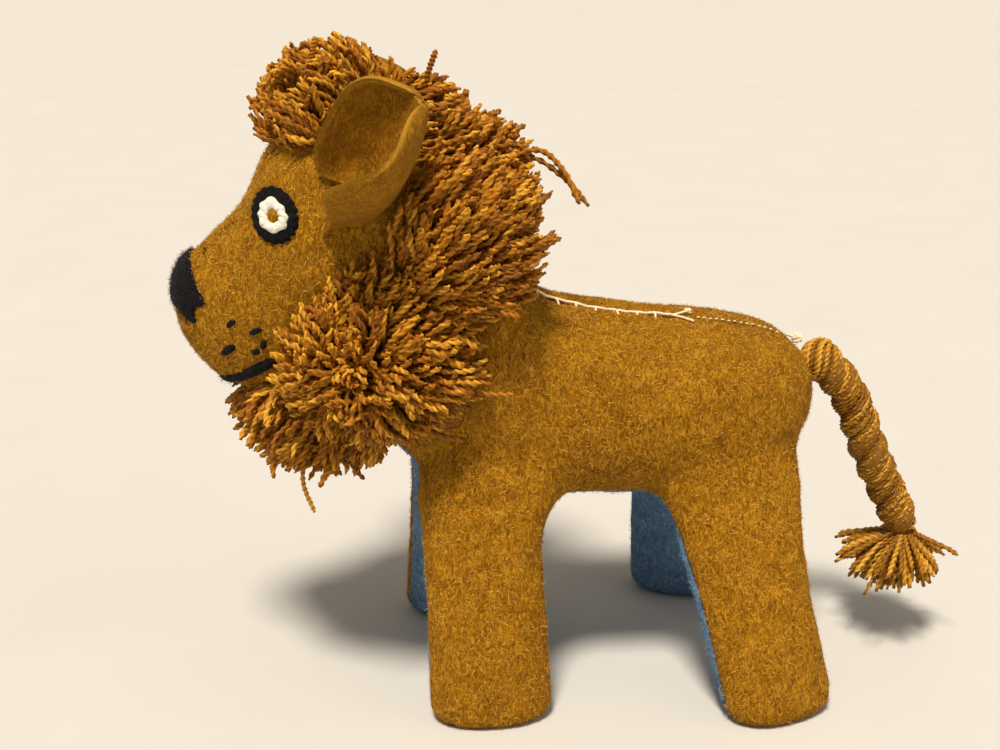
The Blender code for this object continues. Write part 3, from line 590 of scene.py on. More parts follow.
def normals_of(points, faces):
    """Each point's normal: the mean of its faces' normals, weighted by their areas."""
    a, b, c = (points[faces[:, i]] for i in (0, 1, 2))
    across = np.cross(b - a, c - a)
    if faces.shape[1] == 4:
        across = across + np.cross(c - a, points[faces[:, 3]] - a)
    total = np.stack([sum(np.bincount(faces[:, k], across[:, axis], len(points))
                          for k in range(faces.shape[1])) for axis in range(3)], -1)
    return unit(total)


def power_ring(angle, half_a, half_b, power):
    """Points where |a/half_a|^power + |b/half_b|^power = 1, at the given angles."""
    cos, sin = np.cos(angle), np.sin(angle)
    return (half_a * np.sign(cos) * np.abs(cos) ** (2.0 / power),
            half_b * np.sign(sin) * np.abs(sin) ** (2.0 / power))


TRUNK = through(TRUNK_STATIONS, 12)


def trunk_at(x):
    """Top z, bottom z and half width of the trunk at x."""
    return tuple(np.interp(x, TRUNK[:, 0], TRUNK[:, column]) for column in (1, 2, 3))


def half_width(x, z):
    """Half the width of the head or trunk at a place on its side: a superellipse's chord."""
    top, bottom, width = trunk_at(x)
    share = np.clip(np.abs(z - (top + bottom) / 2.0) / ((top - bottom) / 2.0), 0.0, 0.9999)
    return width * (1.0 - share ** TRUNK_POWER) ** (1.0 / TRUNK_POWER)


def back_height(x, y):
    """Height of the trunk's top at a place on its back: a superellipse's chord."""
    top, bottom, width = trunk_at(x)
    share = np.clip(np.abs(y) / width, 0.0, 0.9999)
    chord = (1.0 - share ** TRUNK_POWER) ** (1.0 / TRUNK_POWER)
    return (top + bottom) / 2.0 + (top - bottom) / 2.0 * chord


def trunk_inside(points):
    """Less than 1 inside the trunk: the superellipse's sum at a point's own x."""
    top, bottom, width = trunk_at(points[..., 0])
    sum_y = (np.abs(points[..., 1]) / width) ** TRUNK_POWER
    sum_z = (np.abs(points[..., 2] - (top + bottom) / 2.0) / ((top - bottom) / 2.0)) ** TRUNK_POWER
    outside_x = (points[..., 0] < TRUNK[0, 0]) | (points[..., 0] > TRUNK[-1, 0])
    return np.where(outside_x, 9.0, sum_y + sum_z)


def leg_rings(stations, side, end, angle):
    """Rings of one leg: superellipses through the stations, turned by the toe-out."""
    rows = through(stations, 6)
    z, x, y, length, thick, toe = rows.T
    if side > 0:
        forward, out = RIGHT_FOOT_SHIFT[end]
        fade = np.clip(1.0 - z / SHIFT_TOP, 0.0, 1.0)
        x, y = x + forward * fade, y + out * fade
    turn = np.radians(-side * toe)[:, None]
    a, b = power_ring(angle[None, :], length[:, None], thick[:, None], LEG_POWER)
    return np.stack([x[:, None] + a * np.cos(turn) - b * np.sin(turn),
                     side * y[:, None] + a * np.sin(turn) + b * np.cos(turn),
                     np.repeat(z[:, None], len(angle), 1)], -1)


def closed_rings(rings):
    """Points and triangles of a closed solid through rings, with a point at each end's middle."""
    rows, columns = rings.shape[:2]
    points = np.vstack([rings.reshape(-1, 3), rings[0].mean(0), rings[-1].mean(0)])
    quads = grid_faces(rows, columns, True)
    around = np.arange(columns)
    after = (around + 1) % columns
    first, last = rows * columns, rows * columns + 1
    ends = np.vstack([np.stack([after, around, np.full(columns, first)], -1),
                      np.stack([around + (rows - 1) * columns, after + (rows - 1) * columns,
                                np.full(columns, last)], -1)])
    return points, np.vstack([quads[:, (0, 1, 2)], quads[:, (0, 2, 3)], ends])


def joined(parts):
    """Several meshes of points and faces as one."""
    points, faces, count = [], [], 0
    for part_points, part_faces in parts:
        points.append(part_points)
        faces.append(part_faces + count)
        count += len(part_points)
    return np.vstack(points), np.vstack(faces)


def body_form():
    """The trunk and legs made one skin: their rings closed, joined and remeshed on a fine grid."""
    sides = 96
    angle = np.arange(sides) * 2.0 * math.pi / sides
    x, top, bottom, width = (TRUNK[:, i][:, None] for i in range(4))
    y, z = power_ring(angle[None, :], width, (top - bottom) / 2.0, TRUNK_POWER)
    parts = [closed_rings(np.stack([np.repeat(x, sides, 1), y, (top + bottom) / 2.0 + z], -1))]
    for end, stations in (("front", FRONT_LEG_STATIONS), ("rear", REAR_LEG_STATIONS)):
        for side in (-1, 1):
            parts.append(closed_rings(leg_rings(stations, side, end, angle)))
    points, faces = joined(parts)
    rough = piece("rough_body", points, faces, None)
    step = rough.modifiers.new("one skin", "REMESH")
    step.mode = "VOXEL"
    step.voxel_size = SKIN_VOXEL * MM
    bpy.context.view_layer.update()
    ready = rough.evaluated_get(bpy.context.evaluated_depsgraph_get())
    mesh = bpy.data.meshes.new_from_object(ready)
    bpy.data.objects.remove(rough)
    mesh.calc_loop_triangles()
    found = np.empty(len(mesh.vertices) * 3, np.float32)
    mesh.vertices.foreach_get("co", found)
    triangles = np.empty(len(mesh.loop_triangles) * 3, np.int32)
    mesh.loop_triangles.foreach_get("vertices", triangles)
    bpy.data.meshes.remove(mesh)
    return found.reshape(-1, 3).astype(float) / MM, triangles.reshape(-1, 3)


def edges_of(faces):
    """Every edge of the faces once, as pairs of point numbers."""
    pairs = np.vstack([faces[:, (0, 1)], faces[:, (1, 2)], faces[:, (2, 0)]])
    return np.unique(np.sort(pairs, axis=1), axis=0)


def relaxed(points, edges, rounds, weight):
    """Points moved, round after round, towards the mean of their neighbours by their weight."""
    count = len(points)
    degree = np.bincount(edges.ravel(), minlength=count)[:, None]
    for _ in range(rounds):
        total = np.stack([np.bincount(edges[:, 0], points[edges[:, 1], axis], count)
                          + np.bincount(edges[:, 1], points[edges[:, 0], axis], count)
                          for axis in range(3)], -1)
        points = points + weight[:, None] * (total / degree - points)
    return points


def waves(points, lengths, seed):
    """A smooth uneven field from -1 to 1: the mean of sine waves in random directions."""
    rng = np.random.default_rng(seed)
    total = np.zeros(points.shape[:-1])
    for length in lengths:
        way = unit(rng.normal(size=3)) * 2.0 * math.pi / length
        total += np.sin(points @ way + rng.uniform(0.0, 2.0 * math.pi))
    return total / len(lengths)


def underbody_edge(points):
    """Signed distance across the body from the underbody's seam, negative inside it.

    Half the underbody's width falls from the sole to the shin, to the belly seam and to nothing
    at its ridge, and every one of these is interpolated along the body.
    """
    x, y, z = points.T
    stations = np.array(UNDERBODY_STATIONS)
    ridge, belly, belly_z, shin, foot = (np.interp(x, stations[:, 0], stations[:, i])
                                         for i in range(1, 6))
    low = shin + (foot - shin) * np.clip((SHIN_Z - z) / SHIN_Z, 0.0, 1.2)
    middle = belly + (shin - belly) * np.clip((belly_z - z) / (belly_z - SHIN_Z), 0.0, 1.0)
    high = belly * np.clip((ridge - z) / (ridge - belly_z), 0.0, 1.0)
    width = np.where(z < SHIN_Z, low, np.where(z < belly_z, middle, high))
    beyond = np.maximum(stations[0, 0] - x, x - stations[-1, 0])
    return np.maximum(np.abs(y) - width, beyond)


def strip_edge(points):
    """Signed distance from the head strip's seams, negative inside it."""
    x, y, z = points.T
    stations = np.array(HEAD_STRIP_STATIONS)
    low, half = (np.interp(x, stations[:, 0], stations[:, i]) for i in (1, 2))
    return np.maximum(np.maximum(np.abs(y) - half, low - z), x - stations[-1, 0])


def middle_edge(points):
    """Signed distance from the seam between the side panels, which rolls left along the back."""
    x, y, _ = points.T
    return y - BACK_SEAM_Y * np.clip((x + 60.0) / 60.0, 0.0, 1.0)


def slid_onto(points, edges, field_of, others):
    """Points next to a field's zero line slid along their own edge onto it, round after round.

    Only where every one of the other fields is clear of its own zero line.
    """
    for _ in range(SEAM_ROUNDS):
        field = field_of(points)
        field[np.abs(field) < 1e-4] = 0.0
        free = np.ones(len(points), bool)
        for other in others:
            free &= other(points) > SEAM_CLEAR
        a, b = edges[free[edges].all(axis=1)].T
        crossing = field[a] * field[b] < 0.0
        a, b = a[crossing], b[crossing]
        share = field[a] / (field[a] - field[b])
        target = points[a] + share[:, None] * (points[b] - points[a])
        mover = np.where(share < 0.5, a, b)
        order = np.argsort(-np.minimum(share, 1.0 - share))
        points = points.copy()
        points[mover[order]] = target[order]
    return points


def wrinkle(points, centre, direction, length, width):
    """A short soft crease: one down its line, falling as a bell curve along and across it."""
    offset = points - np.array(centre)
    way = unit(direction)
    along = offset @ way
    off = np.linalg.norm(offset - along[:, None] * way, axis=1)
    return np.exp(-(along / length) ** 2 - (off / width) ** 2)


def valley(distance, shape):
    """How deep a seam draws the felt in, at a distance from it."""
    reach, depth = shape
    return np.exp(-np.abs(distance) / reach) * depth


def body_skin():
    """The stuffed body as four felt panels; gives the points and faces of each.

    The joined form is relaxed, most where the legs meet the trunk, and its points are slid onto
    the seams. It is dented by the stuffing and drawn in along its seams, then cut along them.
    """
    points, faces = body_form()
    edges = edges_of(faces)
    leg_top = np.exp(-((points[:, 2] - LEG_TOP[0]) / LEG_TOP[1]) ** 2) * (points[:, 0] > CHEST_X)
    points = relaxed(points, edges, 4, np.full(len(points), 0.5))
    points = relaxed(points, edges, 45, 0.5 * leg_top)
    fields = (underbody_edge, strip_edge, middle_edge)
    for number, field in enumerate(fields):
        points = slid_onto(points, edges, field, fields[:number])
    under, strip, middle = (field(points) for field in fields)
    normals = normals_of(points, faces)
    seam = valley(under, UNDERBODY_VALLEY)
    seam += valley(strip, STRIP_VALLEY) * (under > 0.5)
    seam += valley(middle, BACK_VALLEY) * ((under > 0.5) & (strip > 0.3))
    lumps = 0.55 * waves(points, (34.0, 27.0, 21.0, 17.0, 14.0), 5)
    lumps += 0.22 * waves(points, (9.0, 8.0, 7.0, 6.0), 6)
    creases = sum(depth * wrinkle(points, centre, way, length, width)
                  for centre, way, length, width, depth in CREASES)
    centre_of = points[faces].mean(axis=1)
    above_floor = np.clip(points[:, 2] / 6.0, 0.0, 1.0)
    points = points + normals * ((lumps - creases) * above_floor - seam)[:, None]
    points[:, 2] = np.maximum(points[:, 2], 0.0)
    face_under, face_strip, face_middle = (field(centre_of) for field in fields)
    blue = face_under < 0.0
    top = ~blue & (face_strip < 0.0)
    left = ~blue & ~top & (face_middle < 0.0)
    right = ~blue & ~top & (face_middle >= 0.0)
    made = {}
    for name, chosen, material in (("side_panel_left", left, MUSTARD_FELT),
                                   ("side_panel_right", right, MUSTARD_FELT),
                                   ("head_gusset", top, MUSTARD_FELT),
                                   ("underbody_gusset", blue, BLUE_FELT)):
        used, again = np.unique(faces[chosen], return_inverse=True)
        made[name] = (points[used], again.reshape(-1, 3))
        panel = piece(f"felt_{name}", *made[name], material)
        wall = panel.modifiers.new("felt thickness", "SOLIDIFY")
        wall.thickness = FELT * MM
        wall.offset = -1.0
        settle(panel, "body", name, name)
    return made


def fibres(name, points, faces, count, length, slot, material, seed, lift):
    """Loose fibres on a surface of the body: thin bent ribbons that start on random faces, chosen
    by area, lean along the surface in random directions and stand up by the lift times their
    length. Those under the soles lie on the floor."""
    rng = np.random.default_rng(seed)
    corners = points[faces[:, :3]]
    across = np.cross(corners[:, 1] - corners[:, 0], corners[:, 2] - corners[:, 0])
    area = np.linalg.norm(across, axis=1)
    chosen = rng.choice(len(faces), count, p=area / area.sum())
    u, v = rng.random((2, count, 1))
    flip = u + v > 1.0
    u, v = np.where(flip, 1.0 - u, u), np.where(flip, 1.0 - v, v)
    a, b, c = corners[chosen].transpose(1, 0, 2)
    root = a + u * (b - a) + v * (c - a)
    normal = unit(across[chosen])
    lean = unit(np.cross(normal, rng.normal(size=(count, 3))))
    side = np.cross(normal, lean)
    size = length * rng.uniform(0.5, 1.3, (count, 1))
    up = lift * rng.uniform(0.1, 1.0, (count, 1))
    bend = rng.uniform(-0.6, 0.6, (count, 1))
    spine = np.stack([root - normal * FIBRE_ROOT,
                      root + size * (0.5 * lean + 0.62 * up * normal + 0.12 * bend * side),
                      root + size * (lean + up * normal + 0.5 * bend * side)], 1)
    half = np.array(FIBRE_HALF_WIDTHS)[None, :, None]
    wide = unit(side + 0.4 * normal * rng.normal(size=(count, 1)))[:, None, :]
    ribbon = np.stack([spine - wide * half, spine + wide * half], 2).reshape(-1, 3)
    ribbon[:, 2] = np.maximum(ribbon[:, 2], FIBRE_LOWEST)
    start = (np.arange(count) * 6)[:, None]
    quads = np.vstack([start + [0, 1, 3, 2], start + [2, 3, 5, 4]])
    tone = np.repeat(rng.random(count), 6)
    settle(piece(name, ribbon, quads, material, {"strand_tone": tone}), "body", slot)


# ---------------------------------------------------------------- yarn


def strands(paths, radius, tone, root_shade_start, seed):
    """Cut lengths of two-ply yarn as one mesh.

    Each ring is a figure of eight with six points, and turns by a fifth of a turn from ring to
    ring, which winds the two plies round each other. The last rings narrow to half, as a cut
    end does. crown is 1 on top of a ply and 0 between plies; the material paints a highlight on
    the crowns and shade between the plies from it. paths is strands by rings by 3.
    """
    rng = np.random.default_rng(seed)
    count, rings = paths.shape[:2]
    tangent = unit(np.gradient(paths, axis=1))
    guide = unit(np.cross(tangent[:, :1], rng.normal(size=(count, 1, 3))))
    first = unit(guide - (guide * tangent).sum(-1, keepdims=True) * tangent)
    second = np.cross(tangent, first)
    angle = (np.arange(YARN_SIDES) * 2.0 * math.pi / YARN_SIDES) + np.zeros((count, rings, 1))
    spin = np.arange(rings)[None, :, None] * 2.0 * math.pi / RINGS_PER_TURN \
        + rng.uniform(0.0, 6.28, (count, 1, 1))
    lobes = np.array([1.0, 0.62, 0.62, 1.0, 0.62, 0.62])
    share = np.linspace(0.0, 1.0, rings)[None, :]
    narrow = 1.0 - 0.5 * np.clip((share - 0.9) / 0.1, 0.0, 1.0) ** 2
    thick = radius * rng.uniform(0.82, 1.12, (count, 1)) * narrow
    reach = thick[..., None] * lobes
    around = (np.cos(angle + spin) * reach)[..., None] * first[:, :, None] \
        + (np.sin(angle + spin) * reach)[..., None] * second[:, :, None]
    points = (paths[:, :, None] + around).reshape(-1, 3)
    ends = np.array([[0, 1, 2, 3], [0, 3, 4, 5]])
    one = np.vstack([grid_faces(rings, YARN_SIDES, True), ends[:, ::-1],
                     ends + (rings - 1) * YARN_SIDES])
    faces = (one[None] + (np.arange(count) * rings * YARN_SIDES)[:, None, None]).reshape(-1, 4)
    # along runs from the root-shade start to 1 at the tip; the material paints shade towards the root
    # by it.
    along = root_shade_start + (1.0 - root_shade_start) * share
    values = {"strand_tone": np.repeat(tone, rings * YARN_SIDES),
              "crown": np.tile([1.0, 0.0, 0.0, 1.0, 0.0, 0.0], count * rings),
              "along": np.repeat(np.broadcast_to(along, (count, rings)).reshape(-1), YARN_SIDES)}
    return points, faces, values


def ear_surface(side, rows, columns):
    """The middle surface of an ear petal, as a grid of points.

    A row is an arc of a U: its depth grows as 1 - cos and its spread as sin of an angle that runs
    from minus to plus the curl. The near flap is wider than the far one, with a shoulder low down
    and a shorter upper half. The tip leans forwards by the cube of its height. The foot is the
    same arc laid on the side of the head, and the rows above come away from it by the square of
    their height.
    """
    along = unit((EAR_ALONG[0], side * EAR_ALONG[1], EAR_ALONG[2]))
    facing = np.array((EAR_FACING[0], side * EAR_FACING[1], EAR_FACING[2]))
    facing = unit(facing - (facing @ along) * along)
    across = np.cross(along, facing) * -side
    forward = unit(EAR_SEWN_LINE)
    upward = np.array((-forward[2], 0.0, forward[0])) * (1.0 if across[2] > 0.0 else -1.0)
    foot = np.array((EAR_FOOT[0], side * EAR_FOOT[1], EAR_FOOT[2]))
    curl = math.radians(EAR_CURL)
    u = np.sin(0.5 * math.pi * 0.985 * np.linspace(0.0, 1.0, rows))[:, None]
    angle = curl * np.linspace(-1.0, 1.0, columns)[None, :]
    below = 1.0 - np.clip((EAR_WIDEST - u) / EAR_WIDEST, 0.0, 1.0) ** 2
    past = np.clip((u - EAR_WIDEST) / (1.0 - EAR_WIDEST), 0.0, 1.0)
    above = (1.0 - past ** EAR_TIP_POWER) ** (1.0 / EAR_TIP_POWER)
    broad = (1.0 - past ** (EAR_TIP_POWER + 1.6)) ** (1.0 / (EAR_TIP_POWER + 1.6))
    near = np.where(angle * across[1] * side > 0.0, np.abs(angle / curl), 0.0)
    shoulder = np.exp(-((u - 0.25) / 0.14) ** 2)
    step = np.clip((u - 0.35) / 0.4, 0.0, 1.0)
    shorter = EAR_NEAR_SHORTER * step * step * (3.0 - 2.0 * step) - EAR_SHOULDER * shoulder
    depth = (EAR_DEPTH[0] + (EAR_DEPTH[1] - EAR_DEPTH[0]) * below) * above
    spread = (EAR_SPREAD[0] + (EAR_SPREAD[1] - EAR_SPREAD[0]) * below) * broad
    reach = (1.0 - np.cos(angle)) / (1.0 - math.cos(curl))
    spread = spread + EAR_NEAR_WIDER * near * np.sin(math.pi * u)
    depth = depth * (1.0 - shorter * near ** 2)
    free = (spread * np.sin(angle))[..., None] * across + (depth * reach)[..., None] * facing
    foot_spread = (EAR_SPREAD[0] * np.sin(angle))[..., None]
    foot_depth = EAR_DEPTH[0] * reach
    foot_free = foot_spread * across + foot_depth[..., None] * facing
    laid = foot - (foot_depth * (1.0 - EAR_NEAR_FOOT * near ** 2))[..., None] * forward \
        + foot_spread * upward
    low_end = np.where(near > 0.0, reach ** 2 * EAR_LOW_END, 0.0)[..., None]
    laid = laid - low_end * np.array((-0.1, 0.0, 1.0))
    laid[..., 1] = side * (half_width(laid[..., 0], laid[..., 2]) + FELT / 2.0)
    sewn = (np.clip(1.0 - u / EAR_SEWN_RISE, 0.0, 1.0) ** 2)[..., None]
    nod = (EAR_NOD * u ** 3)[..., None] * facing
    return foot + (EAR_LENGTH * u)[..., None] * along + free + nod \
        + sewn * (laid - foot - foot_free)


def ears():
    """Each petal as a closed wall of felt: its middle surface moved out both ways, less near its
    edges so that the rim is round. Gives the points of the middle surfaces."""
    middles = []
    rows, columns = EAR_GRID
    for side, hand in SIDES:
        middle = ear_surface(side, rows, columns)
        flat = middle.reshape(-1, 3)
        faces = grid_faces(rows, columns)
        normals = normals_of(flat, faces).reshape(middle.shape)
        steps = np.linalg.norm(np.diff(middle, axis=1), axis=-1)
        from_start = np.hstack([np.zeros((rows, 1)), np.cumsum(steps, axis=1)])
        to_edge = np.minimum(from_start, from_start[:, -1:] - from_start)
        rise = np.linalg.norm(np.diff(middle, axis=0), axis=-1)
        to_tip = np.vstack([np.cumsum(rise[::-1], axis=0)[::-1], np.zeros((1, columns))])
        near = np.clip(np.minimum(to_edge, to_tip) / RIM_WIDTH, 0.0, 1.0)
        half = (FELT / 2.0 * np.sqrt(1.0 - (1.0 - near) ** 2) + 0.02)[..., None]
        lumps = (0.25 * waves(middle, (16.0, 12.0, 9.0), 40 + side))[..., None]
        outer = (middle + normals * (half + lumps)).reshape(-1, 3)
        inner = (middle - normals * (half - lumps)).reshape(-1, 3)
        count = rows * columns
        number = np.arange(count).reshape(rows, columns)
        rim = np.concatenate([number[0], number[1:, -1], number[-1, -2::-1], number[-2:0:-1, 0]])
        after = np.roll(rim, -1)
        walls = np.stack([rim, rim + count, after + count, after], -1)
        every = np.vstack([faces, faces[:, ::-1] + count, walls[:, ::-1]])
        points = np.vstack([outer, inner])
        # How much painted highlight the material puts along the cut edge, kept as the rim attribute.
        edge = 0.75 * (1.0 - near).reshape(-1)
        if side > 0:
            every = every[:, ::-1]
        ear = piece(f"felt_ear_{hand}", points, every, EAR_FELT, {"rim": np.tile(edge, 2)})
        settle(ear, f"{hand}_ear", f"ear_{hand}", f"ear_{hand}")
        middles.append(flat)
    return middles


def smooth_path(route, count):
    """A Catmull-Rom curve through a route's points, at evenly spaced shares of it."""
    curve = through(route, 16)
    at = np.linspace(0.0, len(curve) - 1.0, count)
    return np.stack([np.interp(at, np.arange(len(curve)), curve[:, axis]) for axis in range(3)], -1)


def pompom_strands(centre, radii, tie, parting, seed):
    """Paths of a pompom's strands, and a tone for each.

    Their tips are spread evenly over the pompom's ball, whose area is that of an ellipsoid by the
    mean of its radii's products to the power 1.6, and shaken, in loose tufts. They leave a
    tie near the head, so that they all sweep away from the face, and their outer part lies over
    along the ball by the cube of their height: away from the parting, and near it in directions
    that change slowly over the ball. Each bows to one side, waves a little and hangs.
    """
    rng = np.random.default_rng(seed)
    centre, radii, tie, parting = (np.array(v, float) for v in (centre, radii, tie, parting))
    a, b, c = radii
    mean = ((a * b) ** 1.6 + (a * c) ** 1.6 + (b * c) ** 1.6) / 3.0
    area = 4.0 * math.pi * mean ** (1.0 / 1.6)
    count = int(area / MANE_SPACING ** 2)
    number = np.arange(count) + 0.5
    z = 1.0 - 2.0 * number / count
    turn = number * GOLDEN_ANGLE
    flat = np.sqrt(1.0 - z * z)
    way = np.stack([flat * np.cos(turn), flat * np.sin(turn), z], -1)
    tuft = np.stack([waves(way * 10.0, (6.0, 4.2, 3.1), seed * 7 + k) for k in range(3)], -1)
    way = unit(way + 0.22 * tuft + rng.normal(scale=0.07, size=way.shape))
    length = rng.uniform(0.80, 1.03, (count, 1)) \
        + 0.07 * waves(way * 10.0, (5.0, 3.5), seed + 3)[:, None]
    stray = rng.random((count, 1)) < 0.025
    length = np.where(stray, length * rng.uniform(1.05, 1.25, (count, 1)), length)
    tip = centre + way * radii * length
    out = unit((tip - centre) / radii ** 2)
    sway = np.stack([waves(tip, (17.0, 13.0, 9.0), seed * 5 + k) for k in range(3)], -1)
    flow = tip - parting
    settled = np.clip(np.linalg.norm(flow, axis=-1, keepdims=True) / 30.0, 0.0, 1.0)
    flow = unit(flow) * settled + 0.8 * sway + rng.normal(scale=0.22, size=tip.shape)
    flow = unit(flow - (flow * out).sum(-1, keepdims=True) * out)
    lean = rng.uniform(6.0, 16.0, (count, 1)) + 3.0 * tuft[:, :1]
    start = tip - flow * lean - tie
    t = np.linspace(0.0, 1.0, STRAND_RINGS)[None, :, None]
    reach = np.linalg.norm(tip - tie, axis=-1, keepdims=True)
    first = (1.0 - STRAND_SHOWN / np.maximum(reach, STRAND_SHOWN))[:, None]
    s = first + (1.0 - first) * t
    bow, kink = (unit(np.cross(way, rng.normal(size=way.shape)))[:, None]
                 * rng.uniform(least, most, (count, 1, 1))
                 for least, most in ((0.5, 4.5), (0.2, 1.1)))
    phase = rng.uniform(0.0, 6.28, (count, 1, 1))
    hang = np.array([0.0, 0.0, -1.2])
    rise = 1.06 * s - 0.06 * s ** 4
    paths = tie + start[:, None] * rise + (flow * lean)[:, None] * s ** 3 + hang * s ** 3 \
        + bow * (s * s - 0.6 * s) + kink * np.sin(phase + t * rng.uniform(4.0, 8.0, (count, 1, 1)))
    return paths, rng.random(count)


def mane(ear_middles):
    """The pompoms. Strands whose tips would lie in the head, an ear's room or the middle of
    another pompom are left out."""
    plan = []
    for name, (x, y, z), radii in SIDE_POMPOMS:
        for side, hand in SIDES:
            plan.append((f"{name}_{hand}", name, side, (x, side * y, z), radii))
    plan.extend((name, name, 1, centre, radii) for name, centre, radii in CENTRE_POMPOMS)
    ear_points = np.vstack([middle[::12] for middle in ear_middles])
    for number, (name, kind, side, centre, radii) in enumerate(plan):
        tie_x, tie_y, tie_z, (part_x, part_y, part_z) = MANE_TIES[kind]
        paths, tone = pompom_strands(centre, radii, (tie_x, side * tie_y, tie_z),
                                     (part_x, side * part_y, part_z), 100 + number)
        tip = paths[:, -1]
        keep = (trunk_inside(tip) > TIP_CLEAR) & (trunk_inside(paths[:, -6]) > SHAFT_CLEAR)
        for other, _, _, other_centre, other_radii in plan:
            if other != name:
                offset = (tip - np.array(other_centre)) / np.array(other_radii)
                keep &= np.linalg.norm(offset, axis=1) > MANE_OVERLAP
        outer = paths[:, STRAND_RINGS // 2::2]
        gap = np.linalg.norm(outer[:, :, None] - ear_points[None, None], axis=-1).min(axis=(1, 2))
        keep &= gap > MANE_EAR_GAP
        points, faces, values = strands(paths[keep], YARN_RADIUS, tone[keep], MANE_ROOT_SHADE_START,
                                        200 + number)
        pompom = piece(f"yarn_{name}", points, faces, MANE_YARN, values)
        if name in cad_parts:
            settle(pompom, "body", name, name)
        else:
            settle(pompom, "body", name.replace("cheek", "upper"))
    ends = np.array([smooth_path(route, STRAND_RINGS * 2) for route in STRAY_ENDS])
    points, faces, values = strands(ends, YARN_RADIUS, np.linspace(0.2, 0.9, len(ends)), 0.6, 260)
    settle(piece("yarn_stray_ends", points, faces, MANE_YARN, values), "body", "mane_crown")


# ---------------------------------------------------------------- face


def on_trunk(x, angle, height):
    """Points of the trunk at x and at an angle round it, raised along its normal."""
    top, bottom, width = trunk_at(x)
    y, z = power_ring(angle, width, (top - bottom) / 2.0, TRUNK_POWER)
    points = np.stack([x, y, (top + bottom) / 2.0 + z], -1)
    rows, columns = x.shape
    normals = normals_of(points.reshape(-1, 3), grid_faces(rows, columns)).reshape(points.shape)
    return points + normals * height[..., None]


def inside_outline(x, z, outline):
    """Signed distance from a closed outline in x and z, negative inside it.

    A place is inside when a line from it crosses the outline an odd number of times.
    """
    corners = np.array(outline)
    after = np.roll(corners, -1, axis=0)
    place = np.stack([x, z], -1)[..., None, :]
    along = after - corners
    share = np.clip(((place - corners) * along).sum(-1) / (along ** 2).sum(-1), 0.0, 1.0)
    away = np.linalg.norm(place - corners - share[..., None] * along, axis=-1).min(-1)
    above = corners[:, 1] > place[..., 1]
    after_above = after[:, 1] > place[..., 1]
    rise = np.where(along[:, 1] == 0.0, 1e-9, along[:, 1])
    crossing_x = corners[:, 0] + (place[..., 1] - corners[:, 1]) * along[:, 0] / rise
    hits = ((above != after_above) & (place[..., 0] < crossing_x)).sum(-1)
    return np.where(hits % 2 == 1, -away, away)


def stitched_patch(name, node, x_range, angle_range, distance_of, ridge_of, height, step):
    """A pad of stitches that grows out of the felt: its height over the felt is the given height
    inside its outline, falls steeply to the outline and runs under the felt outside it. Gives its
    points and faces."""
    x = np.arange(x_range[0], x_range[1], step)
    around = int((angle_range[1] - angle_range[0]) * 22.0 / step)
    angle = np.linspace(angle_range[0], angle_range[1], around)
    x, angle = np.meshgrid(x, angle, indexing="ij")
    flat = on_trunk(x, angle, np.zeros(x.shape))
    distance = distance_of(flat)
    lift = height * np.clip(1.0 - np.exp(distance / 0.5), -0.6, 1.0)
    lift = lift + np.where(distance < 0.0, ridge_of(flat), 0.0)
    faces = grid_faces(*x.shape)
    near = (distance.reshape(-1)[faces] < 0.7).all(axis=1)
    used, again = np.unique(faces[near], return_inverse=True)
    points, faces = on_trunk(x, angle, lift).reshape(-1, 3)[used], again.reshape(-1, 4)
    pad = piece(name, points, faces, BLACK_THREAD)
    back = pad.modifiers.new("stitch thickness", "SOLIDIFY")
    back.thickness = 0.6 * MM
    back.offset = -1.0
    settle(pad, "body", node, node)
    return points, faces


def side_patch(centre, side, outline, height, rings, spokes):
    """A domed patch on the side of the head: polar rings about a centre, with the radius of the
    outline at each angle, raised by the height at each share of that radius."""
    share = np.linspace(0.0, 1.0, rings)[:, None]
    angle = (np.arange(spokes) * 2.0 * math.pi / spokes)[None, :]
    reach = outline(angle) * share[..., None]
    x, z = centre[0] + reach[..., 0], centre[1] + reach[..., 1]
    near = 0.2
    y = half_width(x, z)
    slope_x = (half_width(x + near, z) - half_width(x - near, z)) / (2.0 * near)
    slope_z = (half_width(x, z + near) - half_width(x, z - near)) / (2.0 * near)
    normal = unit(np.stack([-slope_x, np.ones_like(y), -slope_z], -1))
    points = np.stack([x, y, z], -1) + normal * height(share, angle)[..., None]
    points[..., 1] *= side
    faces = grid_faces(rings, spokes, True)
    if side > 0:
        faces = faces[:, ::-1]
    return points.reshape(-1, 3), faces


def oval(half_x, half_z, scallop=0.0, lobes=1):
    """The outline of an ellipse with an uneven wavy edge, as a function of the angle."""
    def outline(angle):
        uneven = np.cos(lobes * angle + 1.4 * np.sin(2.0 * angle)) + 0.8 * np.cos(3.0 * angle + 1.0)
        wave = 1.0 + scallop * uneven
        return np.stack([half_x * np.cos(angle) * wave, half_z * np.sin(angle) * wave], -1)
    return outline


def slanted_oval(half_length, half_thick, degrees):
    """The outline of an ellipse turned by some degrees, as a function of the angle."""
    tilt = math.radians(degrees)

    def outline(angle):
        u, v = power_ring(angle, half_length, half_thick, 2.0)
        return np.stack([u * math.cos(tilt) - v * math.sin(tilt),
                         u * math.sin(tilt) + v * math.cos(tilt)], -1)
    return outline


def nose_distance(points):
    """Signed distance from the nose's ragged outline."""
    return inside_outline(points[..., 0], points[..., 2], NOSE_OUTLINE) \
        + 0.25 * waves(points, (1.7, 1.3, 1.1), 61)


